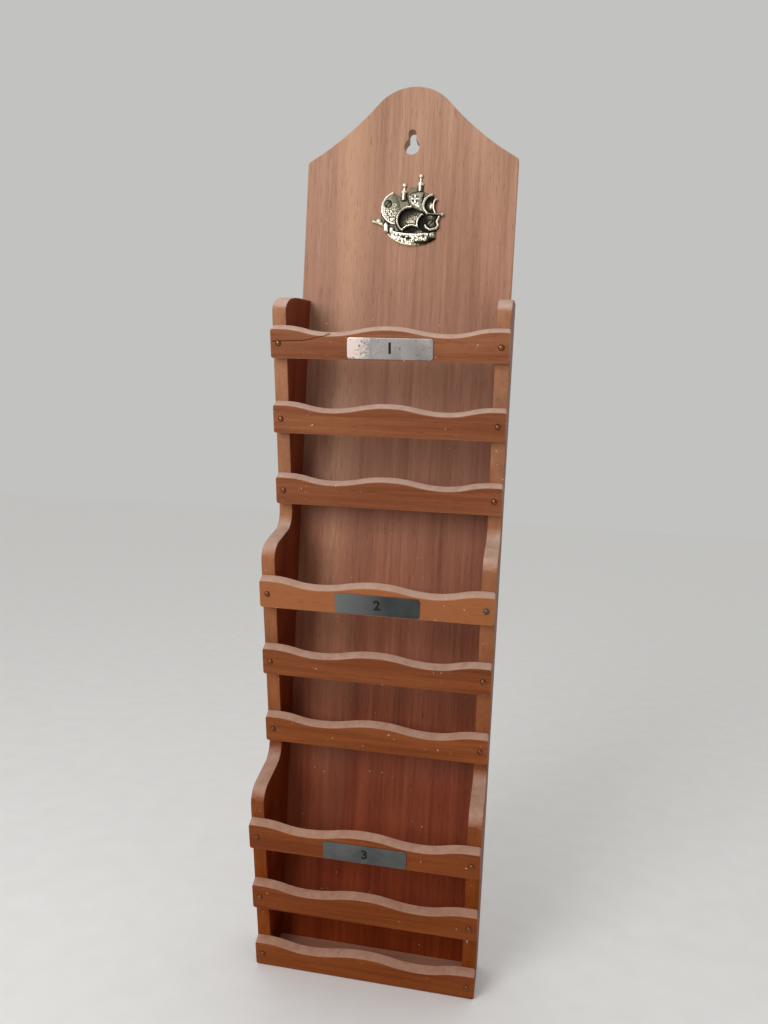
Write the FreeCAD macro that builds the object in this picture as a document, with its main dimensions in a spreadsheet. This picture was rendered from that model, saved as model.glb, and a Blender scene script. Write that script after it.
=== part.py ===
import FreeCAD, Part
import math
import os
import re
import Sketcher

# Wall letter rack: a back board with a bell-shaped crown, two sawtooth side panels, three leaning pockets.
# The origin is the middle of the keyhole's round part on the back face: +X right, +Z up, -Y out to the room.

# Driving dimensions in millimetres. A depth runs forwards from the back board's front face.
# A drop or rise in a pocket is counted from the pocket's floor line, the lower edge of its lowest slat.
SIZES = {
    # the whole rack
    "overall_width": "160",
    "first_pocket_drop": "259.7",
    "pocket_pitch": "170.1",
    "cut_overrun": "2",
    # back board
    "board_thickness": "9.5",
    "board_arris": "1",
    "crown_above_keyhole": "42.6",
    "crown_radius": "35",
    "crown_sweep_radius": "208",
    "shoulder_below_keyhole": "9.8",
    "shoulder_rounding": "2.5",
    "keyhole_radius": "5.5",
    "keyhole_slot_width": "5.6",
    "keyhole_slot_rise": "12.3",
    # side panels
    "panel_thickness": "9.6",
    "rebate_lip": "3.2",
    "low_depth": "24.5",
    "high_depth": "50.4",
    "panel_back_rise": "150.8",
    "panel_nose_rise": "139.5",
    "ogee_hollow_drop": "16.5",
    "ogee_nose_drop": "30.4",
    "ogee_radius": "12",
    "panel_arris": "0.7",
    # slats
    "slat_pitch": "49.7",
    "slat_height": "19.5",
    "slat_thickness": "6.1",
    "slat_end_flat": "7",
    "slat_valley_depth": "4.2",
    "slat_crest_rise": "0.2",
    "slat_top_fall": "2.2",
    "slat_corner_rounding": "1.8",
    "middle_bottom_slat_drop": "2.7",
    # split along the grain of the topmost slat
    "split_width": "0.7",
    "split_depth": "1.6",
    # pocket floors
    "floor_thickness": "5",
    # label plates
    "plate_width": "57.5",
    "plate_height": "14",
    "plate_thickness": "0.6",
    "plate_corner_radius": "2",
    "plate_rise": "0.8",
    "plate_shift": "2",
    # round-head pins that hold the slats
    "pin_inset": "5.5",
    "pin_rise": "10",
    "pin_head_radius": "2",
    "pin_crown_radius": "1.1",
    "pin_head_height": "1.4",
    "pin_shank_width": "1.3",
    "pin_shank_length": "17",
    "pin_clearance": "0.05",
    # cut brads that hold the board from behind
    "nail_width": "1.6",
    "nail_length": "24.8",
    "nail_end_inset": "22",
    "floor_nail_inset": "35",
    # cast ship emblem and its screws
    "emblem_drop": "44.7",
    "emblem_width": "53",
    "emblem_plate": "1.2",
    "emblem_relief": "4.6",
    "screw_head_radius": "2.5",
    "screw_crown_radius": "1.7",
    "screw_head_height": "0.9",
    "screw_slot_width": "0.7",
    "screw_slot_depth": "0.5",
    "screw_shank_radius": "1.1",
    "screw_shank_length": "8",
}

POCKETS = ("upper", "middle", "lower")
SLATS = ("bottom", "middle", "top")
PANEL_NAILS = 4

# Formulas in the sheet's words, used by more than one piece.
BOARD_WIDTH = "(overall_width - 2 * rebate_lip)"
INNER_WIDTH = "(overall_width - 2 * panel_thickness)"
RACK_DROP = f"(first_pocket_drop + {len(POCKETS) - 1} * pocket_pitch)"
LEAN = f"((high_depth - low_depth) / ({len(SLATS) - 1} * slat_pitch))"
LEAN_ANGLE = f"atan({LEAN})"
PIN_HOLE = "(pin_shank_width + 2 * pin_clearance)"
NAIL_HOLE = "(nail_width + 2 * pin_clearance)"
NAIL_DEPTH = "(nail_length + pin_clearance)"

# Outlines on the emblem as shares of its width, across and up from its middle. Where two more values follow,
# an arc leaves the corner: its radius, and whether it bulges to the right (1) or the left (-1) of the way.
EMBLEM_PLATE_SHARES = (
    (-0.35, -0.18, 0.33, -1), (-0.225, 0.23), (-0.115, 0.16), (-0.02, 0.16), (0.01, 0.29), (0.105, 0.29),
    (0.21, 0.225), (0.315, 0.185), (0.33, 0.15), (0.385, 0.12), (0.365, 0.02), (0.395, -0.065),
    (0.48, -0.075), (0.48, -0.10), (0.43, -0.12), (0.43, -0.245), (0.385, -0.31), (0.395, -0.395, 0.53, -1),
    (0.055, -0.495, 0.48, -1), (-0.285, -0.34), (-0.35, -0.225),
)
EMBLEM_HULL_SHARES = (
    (-0.285, -0.34), (-0.19, -0.30, 1.22, 1), (0.365, -0.31), (0.395, -0.395, 0.53, -1),
    (0.055, -0.495, 0.48, -1),
)
EMBLEM_BOWSPRIT_SHARES = ((-0.47, -0.185), (-0.32, -0.25), (-0.34, -0.17), (-0.47, -0.15))
EMBLEM_FORECASTLE_SHARES = ((-0.34, -0.18), (-0.32, -0.30), (-0.28, -0.32), (-0.285, -0.19))
EMBLEM_FOREDECK_SHARES = ((-0.268, -0.23), (-0.255, -0.335), (-0.19, -0.325), (-0.204, -0.245))
EMBLEM_FORESAIL_SHARES = ((-0.18, -0.21, 0.227, -1), (-0.225, 0.23, 0.33, -1))
EMBLEM_MAINSAIL_SHARES = (
    (0.04, 0.025, 0.18, 1), (-0.065, -0.31, 0.28, -1), (0.18, -0.30, 0.134, -1), (0.222, -0.087),
)
EMBLEM_TOPSAIL_SHARES = (
    (-0.013, 0.174, 0.295, -1), (0.208, 0.215, 0.30, 1), (0.236, -0.06), (0.06, 0.015, 0.213, -1),
)
EMBLEM_MIZZEN_TOPSAIL_SHARES = (
    (0.317, 0.185, 0.1415, 1), (0.257, -0.068), (0.392, -0.068, 0.148, -1), (0.383, 0.12),
)
EMBLEM_MIZZEN_SHARES = (
    (0.26, -0.075, 0.13, 1), (0.226, -0.32, 0.17, 1), (0.43, -0.255), (0.43, -0.123), (0.475, -0.083),
)
# What rises from the plate: its outline, its height as a share of the relief, and for a sail seen from behind
# the depth of its hollow as a share of the relief.
EMBLEM_FORM_SHARES = {
    "bowsprit": (EMBLEM_BOWSPRIT_SHARES, 0.45, 0),
    "hull": (EMBLEM_HULL_SHARES, 0.66, 0),
    "forecastle": (EMBLEM_FORECASTLE_SHARES, 0.78, 0),
    "foredeck": (EMBLEM_FOREDECK_SHARES, 0.72, 0),
    "foresail": (EMBLEM_FORESAIL_SHARES, 0.60, 0),
    "topsail": (EMBLEM_TOPSAIL_SHARES, 0.82, 0),
    "mizzen_topsail": (EMBLEM_MIZZEN_TOPSAIL_SHARES, 0.70, 0.40),
    "mizzen": (EMBLEM_MIZZEN_SHARES, 0.76, 0.45),
    "mainsail": (EMBLEM_MAINSAIL_SHARES, 1.00, 0.65),
}
# Size of a sail's hollow as a share of the sail.
EMBLEM_HOLLOW_SHARE = 0.76
# Mast heads: foot of the barrel, then heights above it of the barrel's top, the nest's top and the ball.
EMBLEM_MAST_SHARES = ((-0.07, 0.113, 0.10, 0.13, 0.205), (0.15, 0.23, 0.08, 0.115, 0.21))
EMBLEM_BARREL_SHARE = 0.042
EMBLEM_NEST_SHARE = 0.034
EMBLEM_POLE_SHARE = 0.020
# Round knobs: place, radius and height of the relief, the masts' balls first, then the bowsprit's.
EMBLEM_KNOB_SHARES = (
    (-0.07, 0.318, 0.034, 0.60), (0.15, 0.44, 0.032, 0.60), (-0.475, -0.165, 0.025, 0.50),
    (-0.405, -0.16, 0.040, 0.62),
)
EMBLEM_SCREW_SHARES = ((-0.283, 0.07), (0.321, -0.198))

# The split along the topmost slat's grain, as shares of half the slat's length and of its height.
SPLIT_SHARES = ((-1.0, 0.50), (-0.78, 0.53), (-0.55, 0.60), (-0.45, 0.80))

# Turn of the screws' slots, in degrees.
SCREW_TURN = "50"

WORD = re.compile(r"[a-z_]+")
NEAR = 1e-4

doc = FreeCAD.newDocument("letter_rack")
sheet = doc.addObject("Spreadsheet::Sheet", "Sizes")
for row, (alias, number) in enumerate(SIZES.items(), start=1):
    sheet.set(f"A{row}", alias)
    sheet.set(f"B{row}", number)
    sheet.setAlias(f"B{row}", alias)
doc.recompute()


def formula(text):
    """Turns a formula in the sheet's words into one that any object of the document can hold."""
    return WORD.sub(lambda word: f"Sizes.{word[0]}" if word[0] in SIZES else word[0], text)


def value(text):
    """Works a formula out now."""
    answer = sheet.evalExpression(text)
    return float(getattr(answer, "Value", answer))


def bind(thing, **formulas):
    """Ties properties to formulas; a double underscore in a name stands for a dot."""
    for name, text in formulas.items():
        thing.setExpression(name.replace("__", "."), formula(text))


def place(thing, across, back, up, turn=None, axis=FreeCAD.Vector(1, 0, 0)):
    """Puts an object at formulas for X, Y and Z, turned about an axis by a formula in degrees."""
    if turn is not None:
        thing.Placement = FreeCAD.Placement(FreeCAD.Vector(), FreeCAD.Rotation(axis, value(turn)))
        bind(thing, Placement__Rotation__Angle=turn)
    bind(thing, Placement__Base__x=across, Placement__Base__y=back, Placement__Base__z=up)


def new_body(name):
    return doc.addObject("PartDesign::Body", name)


def new_sketch(body, name, role, offset=None):
    """A sketch on one of the body's own origin planes, moved along the plane's normal by a formula."""
    sketch = body.newObject("Sketcher::SketchObject", f"{body.Name}_{name}")
    plane = next(feature for feature in body.Origin.OriginFeatures if feature.Role == role)
    sketch.AttachmentSupport = [(plane, "")]
    sketch.MapMode = "FlatFace"
    if offset is not None:
        bind(sketch, AttachmentOffset__Base__z=offset)
    return sketch


def arc_between(start, end, radius, side):
    """The short arc from start to end that bulges to the right (1) or the left (-1) of the way."""
    chord = end - start
    left = FreeCAD.Vector(-chord.y, chord.x, 0).normalize()
    reach = math.sqrt(max(radius ** 2 - (chord.Length / 2) ** 2, 0))
    centre = (start + end) / 2 + left * reach * side
    first, last = (start, end) if side > 0 else (end, start)
    circle = Part.Circle(centre, FreeCAD.Vector(0, 0, 1), radius)
    return Part.ArcOfCircle(circle, circle.parameter(first), circle.parameter(last))


def tie(sketch, constraint, text):
    """Adds a dimension to a sketch and ties it to a formula."""
    index = sketch.addConstraint(constraint)
    sketch.renameConstraint(index, f"size_{index}")
    sketch.setExpression(f"Constraints.size_{index}", formula(text))


def outline(sketch, corners):
    """Draws a closed outline. A corner is (across, up), and with (radius, side) an arc leaves from it."""
    points = [FreeCAD.Vector(value(corner[0]), value(corner[1]), 0) for corner in corners]
    ends = []
    for number, corner in enumerate(corners):
        start, end = points[number], points[(number + 1) % len(points)]
        if len(corner) == 2:
            edge = sketch.addGeometry(Part.LineSegment(start, end), False)
            ends.append((edge, 1, 2))
        else:
            edge = sketch.addGeometry(arc_between(start, end, value(corner[2]), corner[3]), False)
            ends.append((edge, 1, 2) if corner[3] > 0 else (edge, 2, 1))
    for number, (edge, first, last) in enumerate(ends):
        following, start, _ = ends[(number + 1) % len(ends)]
        sketch.addConstraint(Sketcher.Constraint("Coincident", edge, last, following, start))
    for number, (edge, first, last) in enumerate(ends):
        point, corner = points[number], corners[number]
        tie(sketch, Sketcher.Constraint("DistanceX", -1, 1, edge, first, point.x), corner[0])
        tie(sketch, Sketcher.Constraint("DistanceY", -1, 1, edge, first, point.y), corner[1])
        if len(corner) > 2:
            tie(sketch, Sketcher.Constraint("Radius", edge, value(corner[2])), corner[2])


def disc(sketch, radius):
    """Draws a circle round the sketch's origin."""
    edge = sketch.addGeometry(Part.Circle(FreeCAD.Vector(), FreeCAD.Vector(0, 0, 1), value(radius)), False)
    sketch.addConstraint(Sketcher.Constraint("Coincident", edge, 3, -1, 1))
    tie(sketch, Sketcher.Constraint("Radius", edge, value(radius)), radius)


def pad(body, sketch, length, reverse=False):
    feature = body.newObject("PartDesign::Pad", f"{sketch.Name}_pad")
    feature.Profile = sketch
    feature.Reversed = reverse
    bind(feature, Length=length)
    doc.recompute()


def revolve(body, sketch):
    """Turns a profile once round the sketch's upright axis."""
    feature = body.newObject("PartDesign::Revolution", f"{sketch.Name}_turn")
    feature.Profile = sketch
    feature.ReferenceAxis = (sketch, ["V_Axis"])
    feature.Angle = 360
    doc.recompute()


def check_cut(body, before):
    """Stops the build when a cut has missed its piece."""
    doc.recompute()
    if body.Shape.Volume > before - NEAR:
        raise RuntimeError(f"{body.Tip.Name} cut nothing")


def pocket(body, sketch, length, reverse=False):
    before = body.Shape.Volume
    feature = body.newObject("PartDesign::Pocket", f"{sketch.Name}_pocket")
    feature.Profile = sketch
    feature.Reversed = reverse
    bind(feature, Length=length)
    check_cut(body, before)


def drill(body, name, radius, length, across, back, up, turn="90"):
    """A round hole that starts at the given point and runs back into the piece."""
    before = body.Shape.Volume
    hole = body.newObject("PartDesign::SubtractiveCylinder", f"{body.Name}_{name}")
    bind(hole, Radius=radius, Height=length)
    place(hole, across, back, up, turn, FreeCAD.Vector(-1, 0, 0))
    check_cut(body, before)


def mortise(body, name, width, length, across, back, up, turn=None):
    """A square hole, as a square shank leaves it, that starts at its lower left corner and runs back."""
    before = body.Shape.Volume
    hole = body.newObject("PartDesign::SubtractiveBox", f"{body.Name}_{name}")
    bind(hole, Length=width, Width=length, Height=width)
    place(hole, across, back, up, turn)
    check_cut(body, before)


def dress_edges(body, name, kind, wanted, **sizes):
    """Rounds or bevels each edge of the body that passes the test."""
    base = body.Tip
    names = [f"Edge{number}" for number, edge in enumerate(base.Shape.Edges, start=1) if wanted(edge)]
    feature = body.newObject(f"PartDesign::{kind}", f"{body.Name}_{name}")
    feature.Base = (base, names)
    bind(feature, **sizes)
    doc.recompute()


def round_edges(body, name, radius, wanted):
    dress_edges(body, name, "Fillet", wanted, Radius=radius)


def bevel_edges(body, name, size, wanted):
    dress_edges(body, name, "Chamfer", wanted, Size=size)


def lies_in(edge, axis, position):
    """True for an edge that lies in the plane at this position along X (0), Y (1) or Z (2)."""
    samples = [edge.valueAt(edge.FirstParameter + (edge.LastParameter - edge.FirstParameter) * share)
               for share in (0, 0.5, 1)]
    return all(abs(sample[axis] - position) < NEAR for sample in samples)


def stands_at(edge, axes, corners):
    """True for an edge that runs square to two axes, through one of the corners given on them."""
    ends = [vertex.Point for vertex in edge.Vertexes]

    def meets(corner):
        return all(math.dist([end[axis] for axis in axes], corner) < NEAR for end in ends)

    return any(meets(corner) for corner in corners)


def floor_line(pocket_number):
    """Height of a pocket's floor line, the lower edge of its lowest slat."""
    return f"(-first_pocket_drop - {pocket_number} * pocket_pitch)"


def front_depth(rise):
    """Depth of a side panel's leaning front edge at a rise in its pocket."""
    return f"(low_depth + {LEAN} * ({rise}))"


def slat_rise(pocket_number, slat_number):
    """Rise of a slat's lower edge in its pocket. The middle pocket's lowest slat was fixed a little low."""
    if POCKETS[pocket_number] == "middle" and slat_number == 0:
        return "(-middle_bottom_slat_drop)"
    return f"({slat_number} * slat_pitch)"


def on_slat(pocket_number, slat_number, forward, up):
    """Y and Z of a point on a slat: forwards from its back face, and up along it from its lower edge."""
    rise = slat_rise(pocket_number, slat_number)
    cosine, sine = f"cos({LEAN_ANGLE})", f"sin({LEAN_ANGLE})"
    back = f"(-board_thickness - {front_depth(rise)} - ({forward}) * {cosine} - ({up}) * {sine})"
    height = f"({floor_line(pocket_number)} + {rise} - ({forward}) * {sine} + ({up}) * {cosine})"
    return back, height


def every_slat():
    return [(pocket_row, slat_row) for pocket_row in range(len(POCKETS)) for slat_row in range(len(SLATS))]


def pin_across(side):
    return f"({side} * (overall_width / 2 - pin_inset))"


def panel_nail_heights():
    """Heights of the nails along a side panel, spread evenly between its ends."""
    top = "(-first_pocket_drop + panel_back_rise - nail_end_inset)"
    span = f"({RACK_DROP} - first_pocket_drop + panel_back_rise - 2 * nail_end_inset)"
    return [f"({top} - {span} * {number} / {PANEL_NAILS - 1})" for number in range(PANEL_NAILS)]


def nail_places():
    """X and Z of every nail in the back: a row into each side panel, and a pair into each floor."""
    panel_across = f"(overall_width / 2 - rebate_lip - ({BOARD_WIDTH} - {INNER_WIDTH}) / 4)"
    places = [(f"({side} * {panel_across})", height) for side in (-1, 1) for height in panel_nail_heights()]
    for pocket_number in range(len(POCKETS)):
        height = f"({floor_line(pocket_number)} + floor_thickness / 2)"
        places += [(f"({side} * ({INNER_WIDTH} / 2 - floor_nail_inset))", height) for side in (-1, 1)]
    return places


def nail_hole(body, number, across, up):
    """The hole of one nail, right through the board and on into what the nail holds."""
    mortise(body, f"nail_{number}", NAIL_HOLE, f"{NAIL_DEPTH} + cut_overrun",
            f"{across} - {NAIL_HOLE} / 2", f"-{NAIL_DEPTH}", f"{up} - {NAIL_HOLE} / 2")


def on_emblem(share):
    """X and Z of a place on the emblem."""
    return f"({share[0]} * emblem_width)", f"(-emblem_drop + {share[1]} * emblem_width)"


def back_board():
    """A plank with a bell-shaped crown, the keyhole, and holes for the nails and the emblem's screws."""
    half = f"{BOARD_WIDTH} / 2"
    centre = "(crown_above_keyhole - crown_radius)"
    drop = f"({centre} + shoulder_below_keyhole)"
    reach = f"sqrt(({half}) ^ 2 + {drop} ^ 2)"
    span = "(crown_radius + crown_sweep_radius)"
    opening = f"acos(({span} ^ 2 + {reach} ^ 2 - crown_sweep_radius ^ 2) / (2 * {span} * {reach}))"
    turn = f"({opening} - atan({drop} / ({half})))"
    meet_across, meet_up = f"(crown_radius * cos({turn}))", f"({centre} + crown_radius * sin({turn}))"
    body = new_body("back_board")
    sketch = new_sketch(body, "face", "XZ_Plane")
    outline(sketch, [
        (f"-{half}", f"-{RACK_DROP}"),
        (half, f"-{RACK_DROP}"),
        (half, "-shoulder_below_keyhole", "crown_sweep_radius", -1),
        (meet_across, meet_up, "crown_radius", 1),
        (f"-{meet_across}", meet_up, "crown_sweep_radius", -1),
        (f"-{half}", "-shoulder_below_keyhole"),
    ])
    pad(body, sketch, "board_thickness")
    shoulders = [(side * value(half), value("-shoulder_below_keyhole")) for side in (-1, 1)]
    round_edges(body, "shoulders", "shoulder_rounding", lambda edge: stands_at(edge, (0, 2), shoulders))
    front = value("-board_thickness")
    bevel_edges(body, "arris", "board_arris", lambda edge: lies_in(edge, 1, front))
    hole = new_sketch(body, "keyhole_round", "XZ_Plane")
    disc(hole, "keyhole_radius")
    pocket(body, hole, "board_thickness + cut_overrun", reverse=True)
    slot = new_sketch(body, "keyhole_slot", "XZ_Plane")
    width, top = "keyhole_slot_width / 2", "keyhole_slot_rise"
    outline(slot, [
        (f"-{width}", "0"),
        (width, "0"),
        (width, f"{top} - {width}", width, 1),
        ("0", top, width, 1),
        (f"-{width}", f"{top} - {width}"),
    ])
    pocket(body, slot, "board_thickness + cut_overrun", reverse=True)
    for number, (across, up) in enumerate(nail_places()):
        nail_hole(body, number, across, up)
    for number, share in enumerate(EMBLEM_SCREW_SHARES):
        across, up = on_emblem(share)
        drill(body, f"screw_{number}", "screw_shank_radius + pin_clearance",
              "cut_overrun + screw_shank_length + pin_clearance - emblem_plate",
              across, "-board_thickness - cut_overrun", up)
    return body


def panel_profile():
    """Corners of a side panel's sawtooth, from the top of its back edge down the front, as (Y, Z)."""
    def corner(depth, up):
        return f"-board_thickness - {depth}", up

    corners = [("0", "-first_pocket_drop + panel_back_rise")]
    noses = [corner(front_depth("panel_nose_rise"), f"{floor_line(0)} + panel_nose_rise")]
    for number in range(len(POCKETS) - 1):
        line = floor_line(number)
        noses.append(corner(front_depth("-ogee_hollow_drop"), f"{line} - ogee_hollow_drop"))
        noses.append(corner(front_depth("pocket_pitch - ogee_nose_drop"), f"{line} - ogee_nose_drop"))
    foot = [corner("low_depth", f"-{RACK_DROP}"), ("0", f"-{RACK_DROP}")]
    return corners + noses + foot, noses


def side_panel(name, side):
    """A sawtooth panel whose teeth roll over in ogees, rebated at the back for the board."""
    body = new_body(name)
    profile, noses = panel_profile()
    sketch = new_sketch(body, "profile", "YZ_Plane")
    outline(sketch, profile)
    pad(body, sketch, "panel_thickness")
    turns = [(value(back), value(up)) for back, up in noses]
    round_edges(body, "ogees", "ogee_radius", lambda edge: stands_at(edge, (1, 2), turns))
    faces = (0, value("panel_thickness"))
    foot = value(f"-{RACK_DROP}")

    def is_front(edge):
        in_face = any(lies_in(edge, 0, position) for position in faces)
        return in_face and not lies_in(edge, 1, 0) and not lies_in(edge, 2, foot)

    bevel_edges(body, "arris", "panel_arris", is_front)
    rebate = new_sketch(body, "rebate", "XZ_Plane")
    near, far = ("rebate_lip", "panel_thickness + cut_overrun")
    if side > 0:
        near, far = ("-cut_overrun", "panel_thickness - rebate_lip")
    low, high = f"-{RACK_DROP} - cut_overrun", "-first_pocket_drop + panel_back_rise + cut_overrun"
    outline(rebate, [(near, low), (far, low), (far, high), (near, high)])
    pocket(body, rebate, "board_thickness", reverse=True)
    start = "-overall_width / 2" if side < 0 else "overall_width / 2 - panel_thickness"
    for pocket_number, slat_number in every_slat():
        back, up = on_slat(pocket_number, slat_number, "cut_overrun", f"pin_rise - {PIN_HOLE} / 2")
        mortise(body, f"pin_{pocket_number}_{slat_number}", PIN_HOLE,
                "cut_overrun + pin_shank_length - slat_thickness + pin_clearance",
                f"{pin_across(side)} - ({start}) - {PIN_HOLE} / 2", back, up, LEAN_ANGLE)
    for number, (across, up) in enumerate(nail_places()[:2 * PANEL_NAILS]):
        if value(across) * side > 0:
            nail_hole(body, number, f"{across} - ({start})", up)
    place(body, start, "0", "0")
    return body


def slat_outline(raised):
    """Corners of a slat's straight lower edge and wavy upper one, raised above the height of its front."""
    half, valley, turn = "overall_width / 2", "overall_width / 4", "slat_corner_rounding"
    high = f"(slat_height + {raised})"
    low, crest = f"({high} - slat_valley_depth)", f"({high} + slat_crest_rise)"
    flat = f"({half} - slat_end_flat)"

    def wave(start, end):
        """Half way between two levels of the wave, with the radius of the two arcs that meet there."""
        run, rise = f"({end[0]} - ({start[0]})) / 2", f"({end[1]} - ({start[1]})) / 2"
        middle = (f"({start[0]}) + {run}", f"({start[1]}) + {rise}")
        return middle, f"(({run}) ^ 2 + ({rise}) ^ 2) / (2 * abs({rise}))"

    levels = [(flat, high), (valley, low), ("0", crest), (f"-{valley}", low), (f"-{flat}", high)]
    corners = [
        (f"-{half} + {turn}", "0"),
        (f"{half} - {turn}", "0", turn, 1),
        (half, turn),
        (half, f"{high} - {turn}", turn, 1),
        (f"{half} - {turn}", high),
    ]
    for number, (start, end) in enumerate(zip(levels, levels[1:])):
        middle, radius = wave(start, end)
        side = 1 if number % 2 == 0 else -1
        corners += [(*start, radius, side), (*middle, radius, -side)]
    return corners + [
        levels[-1],
        (f"-{half} + {turn}", high, turn, 1),
        (f"-{half}", f"{high} - {turn}"),
        (f"-{half}", turn, turn, 1),
    ]


def slat(pocket_number, slat_number):
    """A slat whose wavy upper edge falls towards the front, leaning on the panels' front edges."""
    body = new_body(f"{POCKETS[pocket_number]}_pocket_{SLATS[slat_number]}_slat")
    faces = {"front": ("slat_thickness", "0"), "back": ("0", "slat_top_fall")}
    sketches = []
    for name, (offset, raised) in faces.items():
        sketches.append(new_sketch(body, name, "XZ_Plane", offset))
        outline(sketches[-1], slat_outline(raised))
    bar = body.newObject("PartDesign::AdditiveLoft", f"{body.Name}_bar")
    bar.Profile, bar.Sections, bar.Ruled = sketches[0], sketches[1:], True
    doc.recompute()
    for side in (-1, 1):
        mortise(body, f"pin_{side + 1}", PIN_HOLE, "slat_thickness + 2 * cut_overrun",
                f"{pin_across(side)} - {PIN_HOLE} / 2", "-slat_thickness - cut_overrun",
                f"pin_rise - {PIN_HOLE} / 2")
    back, up = on_slat(pocket_number, slat_number, "0", "0")
    place(body, "0", back, up, LEAN_ANGLE)
    return body


def split(body):
    """Opens the split that runs along the grain from the slat's left end up to its wavy edge."""
    sketch = new_sketch(body, "split", "XZ_Plane", "slat_thickness")
    lower = [(f"{across} * overall_width / 2", f"{up} * slat_height") for across, up in SPLIT_SHARES]
    upper = [(across, f"{up} + split_width") for across, up in reversed(lower)]
    outline(sketch, lower + upper)
    pocket(body, sketch, "split_depth")


def pocket_floor(pocket_number):
    """A thin floor between the panels, its front edge bevelled to lie against the lowest slat."""
    body = new_body(f"{POCKETS[pocket_number]}_pocket_floor")
    sketch = new_sketch(body, "profile", "YZ_Plane")
    low, high = floor_line(pocket_number), f"{floor_line(pocket_number)} + floor_thickness"
    outline(sketch, [
        ("-board_thickness", low),
        ("-board_thickness", high),
        (f"-board_thickness - {front_depth('floor_thickness')}", high),
        ("-board_thickness - low_depth", low),
    ])
    pad(body, sketch, INNER_WIDTH)
    start = f"-{INNER_WIDTH} / 2"
    for number, (across, up) in enumerate(nail_places()[2 * PANEL_NAILS:]):
        if number // 2 == pocket_number:
            nail_hole(body, number, f"{across} - ({start})", up)
    place(body, start, "0", "0")
    return body


def label_plate(pocket_number):
    """A thin plate with rounded corners, stuck to the pocket's top slat a little right of the middle."""
    body = new_body(f"{POCKETS[pocket_number]}_label_plate")
    sketch = new_sketch(body, "face", "XZ_Plane")
    half, high, turn = "plate_width / 2", "plate_height", "plate_corner_radius"
    outline(sketch, [
        (f"-{half} + {turn}", "0"),
        (f"{half} - {turn}", "0", turn, 1),
        (half, turn),
        (half, f"{high} - {turn}", turn, 1),
        (f"{half} - {turn}", high),
        (f"-{half} + {turn}", high, turn, 1),
        (f"-{half}", f"{high} - {turn}"),
        (f"-{half}", turn, turn, 1),
    ])
    pad(body, sketch, "plate_thickness")
    back, up = on_slat(pocket_number, len(SLATS) - 1, "slat_thickness", "plate_rise")
    place(body, "plate_shift", back, up, LEAN_ANGLE)
    return body


def turned(body, profile):
    """Turns a profile of (across, along) corners round the body's Y axis."""
    sketch = new_sketch(body, "profile", "XY_Plane")
    outline(sketch, profile)
    revolve(body, sketch)


def head_profile(kind):
    """The crown and rim of a fastener's head, whose underside lies at zero."""
    return [("0", f"-{kind}_head_height"), (f"{kind}_crown_radius", f"-{kind}_head_height"),
            (f"{kind}_head_radius", "0")]


def square_bar(body, name, width, length):
    """A square bar that runs back from the body's XZ plane."""
    sketch = new_sketch(body, name, "XZ_Plane")
    half = f"{width} / 2"
    outline(sketch, [(f"-{half}", f"-{half}"), (half, f"-{half}"), (half, half), (f"-{half}", half)])
    pad(body, sketch, length, reverse=True)


def copies(name, pattern, places, turn=None, axis=FreeCAD.Vector(1, 0, 0)):
    """One node of separate copies of a fastener, each at formulas for X, Y and Z, all turned alike."""
    links = []
    for number, (across, back, up) in enumerate(places):
        link = doc.addObject("App::Link", f"{name}_{number}")
        link.LinkedObject = pattern
        place(link, across, back, up, turn, axis)
        links.append(link)
    group = doc.addObject("Part::Compound", name)
    group.Links = links
    return group


def slat_pins():
    """Domed brass pins at both ends of each slat, and the one plain steel pin that replaced a lost one."""
    pattern = new_body("pin_pattern")
    turned(pattern, [*head_profile("pin"), ("0", "0")])
    square_bar(pattern, "shank", "pin_shank_width", "pin_shank_length")
    places, replaced = [], []
    for pocket_number, slat_number in every_slat():
        back, up = on_slat(pocket_number, slat_number, "slat_thickness", "pin_rise")
        for side in (-1, 1):
            odd = (POCKETS[pocket_number], SLATS[slat_number], side) == ("middle", "top", 1)
            (replaced if odd else places).append((pin_across(side), back, up))
    return [copies("slat_pins", pattern, places, LEAN_ANGLE),
            copies("replacement_pin", pattern, replaced, LEAN_ANGLE)]


def back_nails():
    """Headless cut brads, driven flush with the board's back, that run forwards into panels and floors."""
    pattern = new_body("nail_pattern")
    square_bar(pattern, "bar", "nail_width", "nail_length")
    places = [(across, "-nail_length", up) for across, up in nail_places()]
    return copies("back_nails", pattern, places)


def emblem_screws():
    """Round-head brass screws with a slot, which hold the emblem against the board."""
    pattern = new_body("screw_pattern")
    shank = [("screw_shank_radius", "0"), ("screw_shank_radius", "screw_shank_length")]
    shank += [("0", "screw_shank_length")]
    turned(pattern, [*head_profile("screw"), *shank])
    before = pattern.Shape.Volume
    slot = pattern.newObject("PartDesign::SubtractiveBox", "screw_slot")
    bind(slot, Length="2 * (screw_head_radius + cut_overrun)", Width="screw_slot_depth + cut_overrun",
         Height="screw_slot_width")
    place(slot, "-screw_head_radius - cut_overrun", "-screw_head_height - cut_overrun",
          "-screw_slot_width / 2")
    check_cut(pattern, before)
    places = []
    for share in EMBLEM_SCREW_SHARES:
        across, up = on_emblem(share)
        places.append((across, "-board_thickness - emblem_plate", up))
    return copies("emblem_screws", pattern, places, SCREW_TURN, FreeCAD.Vector(0, -1, 0))


def emblem_feature(body, name, kind, across, forward, up, turn=None, **sizes):
    """Adds or cuts a primitive at shares of the casting's width, forward of its back."""
    feature = body.newObject(f"PartDesign::{kind}", f"{body.Name}_{name}")
    bind(feature, **sizes)
    place(feature, f"{across} * emblem_width", f"-({forward})", f"{up} * emblem_width",
          turn, FreeCAD.Vector(-1, 0, 0))
    doc.recompute()


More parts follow.
